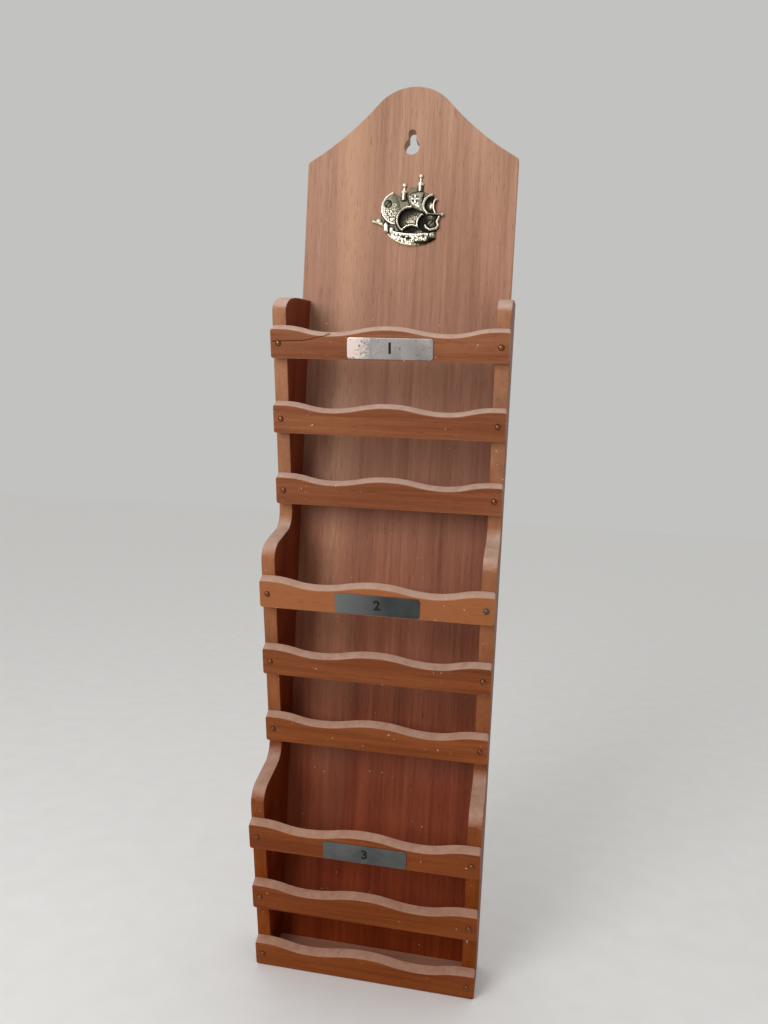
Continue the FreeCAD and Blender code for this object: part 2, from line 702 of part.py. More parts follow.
def emblem_section(body, name, shares, size, forward):
    """A sketch of an outline on the emblem, at a size about its own middle, forward of the casting's back."""
    middle = [sum(corner[axis] for corner in shares) / len(shares) for axis in (0, 1)]
    corners = []
    for across, up, *arc in shares:
        spot = [middle[0] + (across - middle[0]) * size, middle[1] + (up - middle[1]) * size]
        turn = [f"{arc[0] * size} * emblem_width", arc[1]] if arc else []
        corners.append((f"{spot[0]} * emblem_width", f"{spot[1]} * emblem_width", *turn))
    sketch = new_sketch(body, name, "XZ_Plane", forward)
    outline(sketch, corners)
    return sketch


def emblem_form(body, name, shares, height, hollow):
    """A form that rises from the casting's back, sunk behind its rim where it is a sail seen from behind."""
    top = f"{height} * emblem_relief"
    pad(body, emblem_section(body, name, shares, 1, "0"), top)
    if hollow:
        mouth = emblem_section(body, f"{name}_hollow", shares, EMBLEM_HOLLOW_SHARE, top)
        pocket(body, mouth, f"{hollow} * emblem_relief")


def mast_head(body, number, share):
    """A barrel with a crow's nest and a pole above it, lying half sunk in the casting's back plane."""
    across, up, *tops = share
    radii = (EMBLEM_BARREL_SHARE, EMBLEM_NEST_SHARE, EMBLEM_POLE_SHARE)
    for name, top, radius in zip(("barrel", "nest", "pole"), tops, radii):
        emblem_feature(body, f"{name}_{number}", "AdditiveCylinder", across, "0", up,
                       Radius=f"{radius} * emblem_width", Height=f"{top} * emblem_width")


def ship_emblem():
    """A flat-backed brass casting of a sailing ship: hull, swelling and hollow sails, masts, bowsprit."""
    body = new_body("ship_emblem")
    pad(body, emblem_section(body, "plate", EMBLEM_PLATE_SHARES, 1, "0"), "emblem_plate")
    for name, shares in EMBLEM_FORM_SHARES.items():
        emblem_form(body, name, *shares)
    for number, share in enumerate(EMBLEM_MAST_SHARES):
        mast_head(body, number, share)
    for number, (across, up, radius, height) in enumerate(EMBLEM_KNOB_SHARES):
        forward = f"{height} * emblem_relief"
        emblem_feature(body, f"knob_{number}", "AdditiveCylinder", across, forward, up, "90",
                       Radius=f"{radius} * emblem_width", Height=forward)
    before = body.Shape.Volume
    emblem_feature(body, "back", "SubtractiveBox", -1, "0", -1, Length="2 * emblem_width",
                   Width="emblem_relief", Height="2 * emblem_width")
    check_cut(body, before)
    for number, (across, up) in enumerate(EMBLEM_SCREW_SHARES):
        start = (f"{across} * emblem_width", "-emblem_relief - cut_overrun", f"{up} * emblem_width")
        drill(body, f"screw_seat_{number}", "screw_head_radius + pin_clearance",
              "emblem_relief + cut_overrun - emblem_plate", *start)
        drill(body, f"screw_hole_{number}", "screw_shank_radius + pin_clearance",
              "emblem_relief + 2 * cut_overrun", *start)
    place(body, "0", "-board_thickness", "-emblem_drop")
    return body


def all_nodes():
    slats = {places: slat(*places) for places in every_slat()}
    split(slats[0, len(SLATS) - 1])
    floors = [pocket_floor(number) for number in range(len(POCKETS))]
    plates = [label_plate(number) for number in range(len(POCKETS))]
    panels = [side_panel("left_side_panel", -1), side_panel("right_side_panel", 1)]
    fasteners = [*slat_pins(), back_nails(), emblem_screws()]
    return [back_board(), *panels, *slats.values(), *floors, *plates, ship_emblem(), *fasteners]


def check(nodes):
    """Stops the build if any object failed, or any node is empty or not a sound solid."""
    failed = [thing.Name for thing in doc.Objects if {"Invalid", "Error"} & set(thing.State)]
    if failed:
        raise RuntimeError(f"failed objects: {failed}")
    for node in nodes:
        if node.Shape.isNull() or not node.Shape.isValid() or not node.Shape.Solids:
            raise RuntimeError(f"{node.Label} is not a sound solid")


nodes = all_nodes()
doc.recompute()
check(nodes)
os.makedirs("parts", exist_ok=True)
for node in nodes:
    node.Shape.exportStep(f"parts/{node.Label}.step")
    print(node.Label, len(node.Shape.Solids), round(node.Shape.Volume, 1))
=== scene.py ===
import math

import bmesh
import bpy
import numpy as np
from mathutils import Matrix, Vector, noise


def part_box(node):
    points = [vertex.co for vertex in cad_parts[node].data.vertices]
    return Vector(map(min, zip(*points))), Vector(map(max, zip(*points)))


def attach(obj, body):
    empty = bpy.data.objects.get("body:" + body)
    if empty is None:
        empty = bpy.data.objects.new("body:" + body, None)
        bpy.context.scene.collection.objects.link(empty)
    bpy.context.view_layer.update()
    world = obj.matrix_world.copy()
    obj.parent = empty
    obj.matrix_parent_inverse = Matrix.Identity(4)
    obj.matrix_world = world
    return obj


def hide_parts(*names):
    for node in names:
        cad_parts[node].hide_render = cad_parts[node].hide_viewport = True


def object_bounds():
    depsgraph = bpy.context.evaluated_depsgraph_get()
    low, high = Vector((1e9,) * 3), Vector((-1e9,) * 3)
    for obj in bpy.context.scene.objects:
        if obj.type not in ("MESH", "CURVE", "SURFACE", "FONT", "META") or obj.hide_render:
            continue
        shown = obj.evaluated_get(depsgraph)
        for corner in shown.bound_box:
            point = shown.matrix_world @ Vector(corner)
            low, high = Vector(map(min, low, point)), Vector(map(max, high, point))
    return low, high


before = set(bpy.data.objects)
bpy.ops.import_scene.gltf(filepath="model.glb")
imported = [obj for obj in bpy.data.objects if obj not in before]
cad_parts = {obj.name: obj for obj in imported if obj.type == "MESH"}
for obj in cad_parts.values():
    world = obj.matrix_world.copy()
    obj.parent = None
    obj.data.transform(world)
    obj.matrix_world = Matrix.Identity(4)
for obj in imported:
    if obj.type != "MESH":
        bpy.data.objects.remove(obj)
cad_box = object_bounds()

# A wooden wall letter rack, dressed piece by piece. Lengths are in metres, and places come from the frame.
MM = 0.001
UP = Vector((0, 0, 1))
RIGHT = Vector((1, 0, 0))
FRONT = Vector((0, -1, 0))

# Camera: place and turns that match the photograph of 768 by 1024 pixels.
CAMERA_PLACE = Vector((95.1, -572.4, -236.4)) * MM
CAMERA_YAW, CAMERA_PITCH, CAMERA_ROLL = (math.radians(angle) for angle in (10.273, -2.804, 2.895))
FOCAL_PIXELS, IMAGE_HEIGHT = 774.94, 1024
SENSOR, CLIP_START = 36.0, 10 * MM

# Studio: a floor under the rack, a pale surround, a sky brighter above, and one soft lamp.
FLOOR_HALF, FLOOR_CELLS, FLOOR_GAP = 6.0, 8, 0.2 * MM
PAPER_TONES, PAPER_STOPS = ((0.86, 0.86, 0.85), (0.89, 0.89, 0.88)), (0.3, 0.7)
PAPER_ROUGHNESS = 0.9
SURROUND_COLOUR = (0.54, 0.54, 0.53, 1)
SKY_COLOUR, SKY_RANGE = (1.0, 0.99, 0.97, 1), (0.0, 1.0, 0.4, 0.72)
LAMP_PLACE, LAMP_AIM = Vector((-0.42, -0.95, 0.12)), Vector((0, 0, 0.1))
LAMP_POWER, LAMP_WIDTH, LAMP_HEIGHT = 7.3, 0.45, 0.7

# Outlines cut from the solids, and the worn arrises of the pieces.
MERGE, FACE_SLACK, FACING = 0.001 * MM, 0.05 * MM, 0.5
SAMPLE_STEP, CORNER_CLEAR, MITRE_LIMIT = 1.2 * MM, 2.6 * MM, 0.6
ARRIS_STEPS, ARRIS_MARGIN = 5, 0.5 * MM
ARRIS_NOISE, ARRIS_WANDER = 45.0, 0.3
FACE_WEAR, ARRIS_WEAR = 0.3, 0.5
BOARD_ARRIS, PANEL_ARRIS, SLAT_ARRIS, HOLE_ARRIS = 0.8 * MM, 0.55 * MM, 0.45 * MM, 0.35 * MM
BOARD_WALL_WEAR, PANEL_WALL_WEAR, SLAT_WALL_WEAR = 0.3, 1.0, 1.0
SMOOTH_ANGLE = math.radians(40)
SOFT_WIDTH, SOFT_SEGMENTS = 0.3 * MM, 2
NAIL_STAND = 0.1 * MM

# Side panels: where their inner part is cut, and the worn top front corner.
INNER_SECTION, TOP_STRETCH = 1.5 * MM, 30 * MM
EASE_REACH, EASE_SAG = 5.0 * MM, 2.6 * MM

# The topmost slat's split, in shares of its half length and height, and the split's own size.
SPLIT_SLAT = "upper_pocket_top_slat"
SPLIT_SHARES = ((-1.02, 0.53), (-0.7, 0.585), (-0.59, 0.69), (-0.45, 0.8))
SPLIT_WIDTH, SPLIT_DEPTH, SPLIT_TAPER = 1.3 * MM, 2.2 * MM, 0.5

# Label plates, one of them with a bent corner, and their numerals.
PLATE_ARRIS, PLATE_MARGIN = 0.12 * MM, 1.0 * MM
FOLDED_PLATE = "middle"
CORNER_FOLD, CORNER_REACH, FOLD_CURVE = 0.9 * MM, 4.0 * MM, 1.5
NUMERAL_SIZE, NUMERAL_BOLD, NUMERAL_HEIGHT = 9.5 * MM, 0.38 * MM, 0.03 * MM

# Heads of pins and screws. A head's rim lies outside a share of its radius.
RIM_SHARE = 0.9
PIN_SEGMENTS, PIN_RINGS, DOME_ROUNDNESS = 28, 8, 0.8
SCREW_SEGMENTS, SCREW_RINGS = 56, 13
SCREW_SLOT, SCREW_SLOT_DEPTH = 0.7 * MM, 0.55 * MM
SCREW_TURN = math.radians(50)
SLOT_SHADE, HEAD_SHADE = 0.06, 0.38

# Emblem: its width, how far its middle lies below the origin, its thin web and its full height.
EMBLEM_WIDTH, EMBLEM_DROP = 53.0 * MM, 44.7 * MM
EMBLEM_PLATE, EMBLEM_RELIEF = 1.2 * MM, 4.6 * MM
PLATE_FLANK_SHARE = EMBLEM_PLATE / 2 / EMBLEM_WIDTH
# Outlines in shares of its width, from its middle. Two more values are an arc's radius, and whether
# it bulges to the right (1) or the left (-1) of the way.
ARC_STEPS = 14
EMBLEM_SHARES = {
    "plate": (
        (-0.35, -0.18, 0.33, -1), (-0.225, 0.23), (-0.115, 0.16), (-0.02, 0.16), (0.01, 0.29), (0.105, 0.29),
        (0.21, 0.225), (0.315, 0.185), (0.33, 0.15), (0.385, 0.12), (0.365, 0.02), (0.395, -0.065),
        (0.48, -0.075), (0.48, -0.1), (0.43, -0.12), (0.43, -0.245), (0.385, -0.31),
        (0.395, -0.395, 0.53, -1), (0.055, -0.495, 0.48, -1), (-0.285, -0.34), (-0.35, -0.225),
    ),
    "hull": (
        (-0.285, -0.34), (-0.19, -0.3, 1.22, 1), (0.365, -0.31), (0.395, -0.395, 0.53, -1),
        (0.055, -0.495, 0.48, -1),
    ),
    "bowsprit": ((-0.47, -0.185), (-0.32, -0.25), (-0.34, -0.17), (-0.47, -0.15)),
    "forecastle": ((-0.332, -0.215), (-0.305, -0.172), (-0.263, -0.215), (-0.263, -0.322), (-0.328, -0.304)),
    "foredeck": ((-0.247, -0.243), (-0.186, -0.25), (-0.19, -0.328), (-0.247, -0.318)),
    "foresail": ((-0.18, -0.21, 0.227, -1), (-0.225, 0.23, 0.33, -1)),
    "topsail": ((-0.013, 0.174, 0.295, -1), (0.208, 0.215, 0.3, 1), (0.236, -0.06), (0.06, 0.015, 0.213, -1)),
    "mizzen_topsail": ((0.317, 0.185, 0.1415, 1), (0.257, -0.068), (0.392, -0.068, 0.148, -1), (0.383, 0.12)),
    "mizzen": (
        (0.26, -0.075, 0.13, 1), (0.226, -0.32, 0.17, 1), (0.43, -0.255), (0.43, -0.123), (0.475, -0.083),
    ),
    "mainsail": (
        (0.04, 0.025, 0.18, 1), (-0.065, -0.31, 0.148, -1), (0.18, -0.3, 0.134, -1), (0.222, -0.087),
    ),
}
# The grid that carries the relief, also in shares of the width.
GRID_STEP, GRID_HALF_SHARE = 0.22 * MM, 0.52
GRID_CELLS = round(GRID_HALF_SHARE * EMBLEM_WIDTH / GRID_STEP)
GRID_PLACES = np.arange(-GRID_CELLS, GRID_CELLS + 1) * GRID_STEP / EMBLEM_WIDTH
ACROSS, UPWARD = np.meshgrid(GRID_PLACES, GRID_PLACES)
# Forms: height in shares of the relief, width of the rounded flank, light, and how far grains roughen them.
# A form's edge stands at a share of its height.
FORM_SHARES = {
    "bowsprit": (0.5, 0.03, 0.6, 0.0), "hull": (0.68, 0.055, 0.57, 0.8),
    "forecastle": (0.8, 0.02, 0.88, 0.1), "foredeck": (0.74, 0.02, 0.82, 0.1),
    "foresail": (0.46, 0.12, 0.43, 0.6), "topsail": (0.8, 0.06, 0.54, 0.35),
    "mizzen_topsail": (0.74, 0.016, 0.06, 0.0), "mizzen": (0.8, 0.016, 0.06, 0.0),
    "mainsail": (1.0, 0.018, 0.05, 0.0),
}
FORM_EDGE_SHARE = 0.45
# Depth of the sails seen from behind, in shares of their height.
HOLLOW_SHARES = {"mizzen_topsail": 0.6, "mizzen": 0.65, "mainsail": 0.8}
# Lit bellies in them: place, radius, height and light, which is dimmer between grains.
BELLY_SHARES = {
    "mainsail": ((0.055, -0.19, 0.105, 0.45, 0.6), (0.155, -0.125, 0.08, 0.45, 0.57)),
    "mizzen_topsail": ((0.318, 0.035, 0.04, 0.4, 0.95),), "mizzen": ((0.316, -0.107, 0.055, 0.3, 0.38),),
}
BELLY_DIM_SHARE = 0.55
# Edges with a raised ridge, numbered by the corner where they start, and its light.
RIDGE_SHARES = {
    "foresail": ((0,), 0.92), "hull": ((1, 4), 0.8), "mizzen_topsail": ((0, 2), 0.92),
    "mainsail": ((0, 1, 2), 0.92),
}
RIDGE_INSET_SHARE, RIDGE_WIDTH_SHARE = 1.05 * MM / EMBLEM_WIDTH, 0.3 * MM / EMBLEM_WIDTH
# Half way up, the foresail's ridge swells: where, over what length, and by how much.
FORESAIL_SWELL_SHARES = (0.0, 0.065, 2.6)
# The foresail's grains fade out at a level. Its scrolls: place and radius of each, then for all of them the
# radius in mid turn, its growth over the turn, the line's width and light.
FORESAIL_GRAIN_SHARES = (0.05, 0.08)
SCROLL_SHARES = (
    (-0.186, 0.045, 0.026), (-0.252, -0.046, 0.028), (-0.195, -0.114, 0.026), (-0.29, 0.03, 0.018),
)
SPIRAL_SHARES = (0.75, 0.7, 0.009, 0.3)
# Raised lines: half width, height, light and points. Height and light fall off to their sides.
LINE_SHARES = (
    (0.017, 0.8, 0.96, ((0.427, -0.112), (0.398, -0.178), (0.418, -0.222), (0.396, -0.265), (0.309, -0.287),
                        (0.254, -0.253), (0.243, -0.224))),
    (0.009, 0.78, 0.7, ((0.258, -0.07), (0.47, -0.085))),
    (0.016, 0.86, 0.95, ((0.297, 0.178), (0.222, 0.125), (0.2, 0.058), (0.214, -0.01), (0.261, -0.069))),
)
LINE_FALL_SHARE, LINE_DIM_SHARE = 0.4, 0.3
# Spots of painted shade and painted highlight, besides dark ornament: place, half width, half height and
# light, first of the web, then of the forms.
WEB_SHARE = 0.39
WEB_SPOT_SHARES = ((0.05, -0.29, 0.08, 0.032, 0.04), (-0.265, -0.17, 0.06, 0.035, 0.1))
SPOT_SHARES = (
    (-0.048, -0.384, 0.026, 0.018, 0.08), (0.022, -0.402, 0.036, 0.022, 0.08),
    (0.335, -0.425, 0.075, 0.045, 0.06), (0.2, -0.455, 0.13, 0.022, 0.12),
    (0.232, -0.368, 0.013, 0.026, 0.1), (0.3, -0.362, 0.013, 0.026, 0.1),
    (-0.195, -0.388, 0.065, 0.02, 0.92), (0.09, -0.352, 0.14, 0.012, 0.9),
)
# Grains: size, height, stray in their cells, steepness, and mean height and light.
GRAIN_SHARE, GRAIN_HEIGHT = 1.5 * MM / EMBLEM_WIDTH, 0.45 * MM
GRAIN_SEED, GRAIN_CELLS = 3, 128
GRAIN_STRAY, GRAIN_STEEPNESS = (0.15, 0.85), 1.35
GRAIN_MEAN_SHARE, GRAIN_LIGHT_SHARE = 0.6, 0.33
# Mast heads: middle of the foot, then heights of the barrel's, the nest's and the pole's top.
MAST_SHARES = ((-0.07, 0.113, 0.1, 0.13, 0.205), (0.15, 0.23, 0.08, 0.115, 0.21))
# Half width and light of pole, barrel and nest, how round they are, and the painted highlight along them: its
# place, width and light, and how far painted shade darkens the sides.
MAST_PART_SHARES = ((0.02, 0.7), (0.042, 0.42), (0.048, 0.95))
MAST_ROUNDNESS = 1.25
MAST_STRIP_SHARES = (-0.3, 0.35, 0.5, 0.35)
# Knobs: place, radius and height; then for all the rim's height, the light and its loss towards the rim as
# painted shade.
KNOB_SHARES = (
    (-0.07, 0.318, 0.034, 0.55), (0.15, 0.44, 0.032, 0.55), (-0.475, -0.165, 0.025, 0.5),
    (-0.405, -0.16, 0.04, 0.62), (0.317, 0.185, 0.02, 0.72), (0.383, 0.12, 0.018, 0.66),
    (0.468, -0.083, 0.026, 0.88), (0.04, 0.025, 0.02, 1.0), (0.258, -0.07, 0.018, 0.8),
)
KNOB_RIM_SHARES = (0.3, 0.98, 0.55)
# The topsail's cross: place, arm and half width, its narrow middle and its light, on a darker disc.
CROSS_SHARES = (0.092, 0.122, 0.058, 0.012)
CROSS_FOOT_SHARE, CROSS_LIGHT_SHARE = 0.5, 0.95
DISC_SHARE, DISC_DIM_SHARE = 0.4, 0.25
# Flat seats of the screws: places, radius and light; and the painted shade in crevices beside high forms.
SCREW_SHARES = ((-0.283, 0.07), (0.321, -0.198))
SEAT_SHARE, SEAT_LIGHT_SHARE = 2.8 * MM / EMBLEM_WIDTH, 0.22
CREVICE_CELLS, CREVICE_DEPTH, CREVICE_SHADE_SHARE = 5, 1.0 * MM, 0.45

# Noises: repeats per metre across and along the grain, detail, roughness and distortion.
NOISES = {
    "figure": (55, 5, 3.0, 0.5, 0.5), "streaks": (330, 9, 4.0, 0.6, 0.0), "fibres": (2300, 45, 2.0, 0.6, 0.0),
    "pores": (1500, 110, 1.0, 0.5, 0.0), "flecks": (1100, 120, 2.0, 0.5, 0.0),
    "rubbing": (160, 160, 5.0, 0.65, 0.0), "specks": (430, 430, 1.0, 0.5, 0.0),
    "grit": (1800, 1800, 3.0, 0.7, 0.0), "tarnish": (900, 900, 3.0, 0.55, 0.8),
    "scratches": (5200, 300, 2.0, 0.5, 0.0), "drift": (60, 60, 2.0, 0.5, 0.0),
    "spots": (620, 620, 3.0, 0.6, 0.0), "ink": (900, 900, 4.0, 0.5, 0.0), "paper": (40, 40, 3.0, 0.5, 0.0),
}
NOISE_MEAN = 0.5
NOISE_RANGE = (0.3, 0.7)
GRAIN_ACROSS, GRAIN_UP = 0, 2
# Sockets of a mix node: factor, two colours, and the mixed colour among its outputs.
MIX_FACTOR, MIX_FIRST, MIX_SECOND, MIX_RESULT = 0, 6, 7, 2

# Colours, in linear light.
# Each wood has four tones from its darkest streak to its palest, with painted light at the top and painted
# shade at the foot.
BOARD_LIT_TOP = ((0.25, 0.124, 0.076), (0.355, 0.192, 0.123), (0.44, 0.25, 0.167), (0.535, 0.328, 0.228))
BOARD_SHADED_FOOT = ((0.104, 0.012, 0.0028), (0.168, 0.022, 0.005), (0.226, 0.036, 0.0085), (0.304, 0.06, 0.016))
SLAT_LIT_TOP = ((0.13, 0.038, 0.014), (0.2, 0.066, 0.027), (0.26, 0.095, 0.042), (0.335, 0.138, 0.066))
SLAT_SHADED_FOOT = ((0.105, 0.018, 0.002), (0.16, 0.033, 0.004), (0.21, 0.048, 0.0065), (0.285, 0.076, 0.0125))
# Painted light: the pocket floors' tones are pale, as if lit from above.
FLOOR_LIT_TONES = ((0.26, 0.12, 0.072), (0.4, 0.195, 0.12), (0.48, 0.25, 0.16), (0.58, 0.33, 0.23))
# Wear on upward faces with a painted sheen, paler towards the top.
WEAR_AND_SHEEN_TOP, WEAR_AND_SHEEN_FOOT = (0.6, 0.425, 0.35, 1), (0.41, 0.235, 0.165, 1)
WORN_UPRIGHT = (0.55, 0.315, 0.185, 1)
PALE_SPECK = (0.62, 0.47, 0.38, 1)
# Painted sheen of the pale band along the board's left.
PAINTED_SHEEN_BAND = (0.5, 0.285, 0.17, 1)
PALE_FLECK = (0.52, 0.27, 0.16, 1)
PORE_DARKENING = (0.55, 0.47, 0.43, 1)
# Painted shade on the panels' inner faces.
INNER_PAINTED_SHADE = (0.88, 0.56, 0.58, 1)
# Wood: levels between which its painted shade at the foot turns to painted light at the top, gloss, shares of
# noises in its tone, and stops of the tones.
SLAT_LEVELS, BOARD_LEVELS = (-520 * MM, -100 * MM), (-540 * MM, 40 * MM)
BOARD_GLOSS, PANEL_GLOSS, SLAT_GLOSS, FLOOR_GLOSS, PLAIN_GLOSS = 0.12, 0.05, 0.12, 0.15, 0.5
TONE_SHARES = {"figure": 0.45, "streaks": 0.38, "fibres": 0.17}
WOOD_STOPS = (0.3, 0.44, 0.56, 0.72)
# The painted sheen, a pale band along the board's left, and where along it flecks stand.
SHEEN_BAND_PLACE, SHEEN_BAND_HALF, SHEEN_BAND_STRENGTH = -43 * MM, 16 * MM, 0.8
FLECK_RANGE, FLECK_HEIGHTS = (0.58, 0.66, 0.0, 0.6), (0.2, 0.5)
# Marks of the wood: where they start and are full, then their strengths there if not 0 and 1.
PORE_RANGE, PORE_STRENGTH = (0.62, 0.72), 0.5
# Painted shade on the panels' inner faces.
INNER_SHADE_RANGE = (-0.5, -0.9)
RUBBED_RANGE = (0.34, 0.6, 0.7, 1.0)
# Upward faces show wear with a painted sheen; upright faces show wear.
UPWARD_RANGE, UPRIGHT_STRENGTH = (0.1, 0.7, 0.0, 0.95), 0.36
SPECK_RANGE = (0.765, 0.785, 0.0, 0.7)
WOOD_ROUGHNESS = (*NOISE_RANGE, 0.36, 0.5)
# Dents of a finish: strength and depth. The fibres' or scratches' share in them comes first.
FIBRE_DENTS, WOOD_DENTS = 0.5, (0.3, 0.12 * MM)
PIN_SCRATCHES, PIN_DENTS = 0.35, (0.2, 0.1 * MM)
PLATE_SCRATCHES, PLATE_DENTS = 0.3, (0.2, 0.08 * MM)
CASTING_DENTS = (0.25, 0.08 * MM)
# Cast brass, toned along a shade field of painted light and shade.
CASTING_TONES = ((0.012, 0.01, 0.007), (0.058, 0.051, 0.034), (0.25, 0.23, 0.165), (0.93, 0.86, 0.7))
CASTING_STOPS = (0.08, 0.28, 0.48, 0.86)
CASTING_METALLIC, CASTING_GLOSS = 0.7, 0.15
CASTING_ROUGHNESS = (0.2, 0.8, 0.62, 0.27)
GRIT_STRENGTH = 0.3
# Metal of pins and nails: bright tone, dull tone and roughness, which grows where the metal is dull.
PIN_BRASS = ((0.27, 0.11, 0.05), (0.12, 0.046, 0.02), 0.27)
NAIL_STEEL = ((0.16, 0.145, 0.12), (0.07, 0.062, 0.05), 0.36)
TARNISH_RANGE, TARNISH_STOPS, TARNISH_ROUGHER = (0.25, 0.75), (0.2, 0.8), 0.14
# A plate's paler left end, a painted sheen: colour, where it is full, where it is gone, and how far its
# border strays.
UPPER_SHEEN = ((0.7, 0.58, 0.53, 1), -20 * MM, -12 * MM, 30 * MM)
MIDDLE_SHEEN = ((0.175, 0.185, 0.18, 1), -28 * MM, 10 * MM, 3 * MM)
# Plates: bright and dull tone, roughness, level from which dark spots show, and the painted sheen of the
# paler end.
PLATES = {
    "upper": ((0.41, 0.375, 0.355), (0.26, 0.24, 0.235), 0.34, 0.615, UPPER_SHEEN),
    "middle": ((0.075, 0.081, 0.081), (0.05, 0.056, 0.056), 0.4, 0.7, MIDDLE_SHEEN),
    "lower": ((0.15, 0.157, 0.152), (0.09, 0.095, 0.09), 0.46, 0.7, None),
}
PLATE_STOPS, SCRATCH_ROUGHER = (0.32, 0.68), 0.12
DARK_SPOT = (0.05, 0.048, 0.045, 1)
SPOT_EDGE, SPOT_STRENGTH, SPOT_ROUGHER = 0.05, 0.55, 0.2
INK_TONES, INK_STOPS = ((0.008, 0.008, 0.008), (0.03, 0.029, 0.028)), (0.35, 0.72)
INK_ROUGHNESS, INK_GLOSS = (*NOISE_RANGE, 0.5, 0.7), 0.1
# Each panel's side and tone, and the tones of each pocket's slats from the bottom one up.
PANELS = {"left_side_panel": (-1, 0.02), "right_side_panel": (1, 0.0)}
SLAT_TONES = {"upper": (0.0, -0.02, 0.0), "middle": (0.03, -0.04, 0.3), "lower": (0.02, 0.0, 0.0)}
SLATS = ("bottom", "middle", "top")


def node(tree, kind, inputs=None, **settings):
    """Adds a shader node with its settings, and links or fills its inputs."""
    made = tree.nodes.new(f"ShaderNode{kind}")
    for name, value in settings.items():
        setattr(made, name, value)
    for name, value in (inputs or {}).items():
        if isinstance(value, bpy.types.NodeSocket):
            tree.links.new(value, made.inputs[name])
        else:
            made.inputs[name].default_value = value
    return made


def new_material(name):
    """A material and its tree, still empty."""
    material = bpy.data.materials.new(name)
    material.use_nodes = True
    material.node_tree.nodes.clear()
    return material, material.node_tree


def finished(material, colour, rough, metallic=0.0, gloss=PLAIN_GLOSS, height=None, dents=(0.0, 0.0)):
    """Ends a material with its shader, dented by a height where there is one."""
    tree = material.node_tree
    inputs = {"Base Color": colour, "Roughness": rough, "Metallic": metallic, "Specular IOR Level": gloss}
    if height is not None:
        strength, depth = dents
        dented = node(tree, "Bump", {"Height": height, "Strength": strength, "Distance": depth})
        inputs["Normal"] = dented.outputs[0]
    shader = node(tree, "BsdfPrincipled", inputs)
    node(tree, "OutputMaterial", {"Surface": shader.outputs[0]})
    return material


def own_place(tree):
    """Coordinates of the object itself."""
    return node(tree, "TexCoord").outputs["Object"]


def parted(vector):
    """The three parts of a vector."""
    return node(vector.id_data, "SeparateXYZ", {0: vector}).outputs


def textured(tree, layer, grain=None):
    """A noise of the table, drawn out along an axis (0, 1 or 2) where it has a grain."""
    across, along, detail, roughness, distortion = NOISES[layer]
    scale = [along if axis == grain else across for axis in range(len(UP))]
    mapped = node(tree, "Mapping", {"Vector": own_place(tree), "Scale": scale})
    inputs = {"Vector": mapped.outputs[0], "Scale": 1.0, "Detail": detail, "Roughness": roughness,
              "Distortion": distortion}
    return node(tree, "TexNoise", inputs).outputs["Fac"]


def between(value, low, high, new_low=0.0, new_high=1.0):
    """Spreads a range onto another one, and holds a value there."""
    inputs = {"Value": value, "From Min": low, "From Max": high, "To Min": new_low, "To Max": new_high}
    return node(value.id_data, "MapRange", inputs, clamp=True).outputs[0]


def maths(operation, first, second=0.0):
    """The result of a sum or the like."""
    return node(first.id_data, "Math", {0: first, 1: second}, operation=operation).outputs[0]


def times(first, second):
    """A product."""
    return maths("MULTIPLY", first, second)


def swung(pattern, spread):
    """A noise that swings about zero."""
    return times(maths("SUBTRACT", pattern, NOISE_MEAN), spread)


def mixed(share, first, second, blend="MIX"):
    """Mixes two colours by a share."""
    inputs = {MIX_FACTOR: share, MIX_FIRST: first, MIX_SECOND: second}
    return node(share.id_data, "Mix", inputs, data_type="RGBA", blend_type=blend).outputs[MIX_RESULT]


def ramp(share, colours, stops):
    """A colour that runs through several ones."""
    made = node(share.id_data, "ValToRGB", {"Fac": share})
    elements = made.color_ramp.elements
    while len(elements) < len(colours):
        elements.new(1.0)
    for element, stop, colour in zip(elements, stops, colours):
        element.position = stop
        element.color = (*colour, 1)
    return made.outputs["Color"]


def attribute(tree, name):
    """A value that the mesh's vertices carry."""
    return node(tree, "Attribute", attribute_name=name).outputs["Fac"]


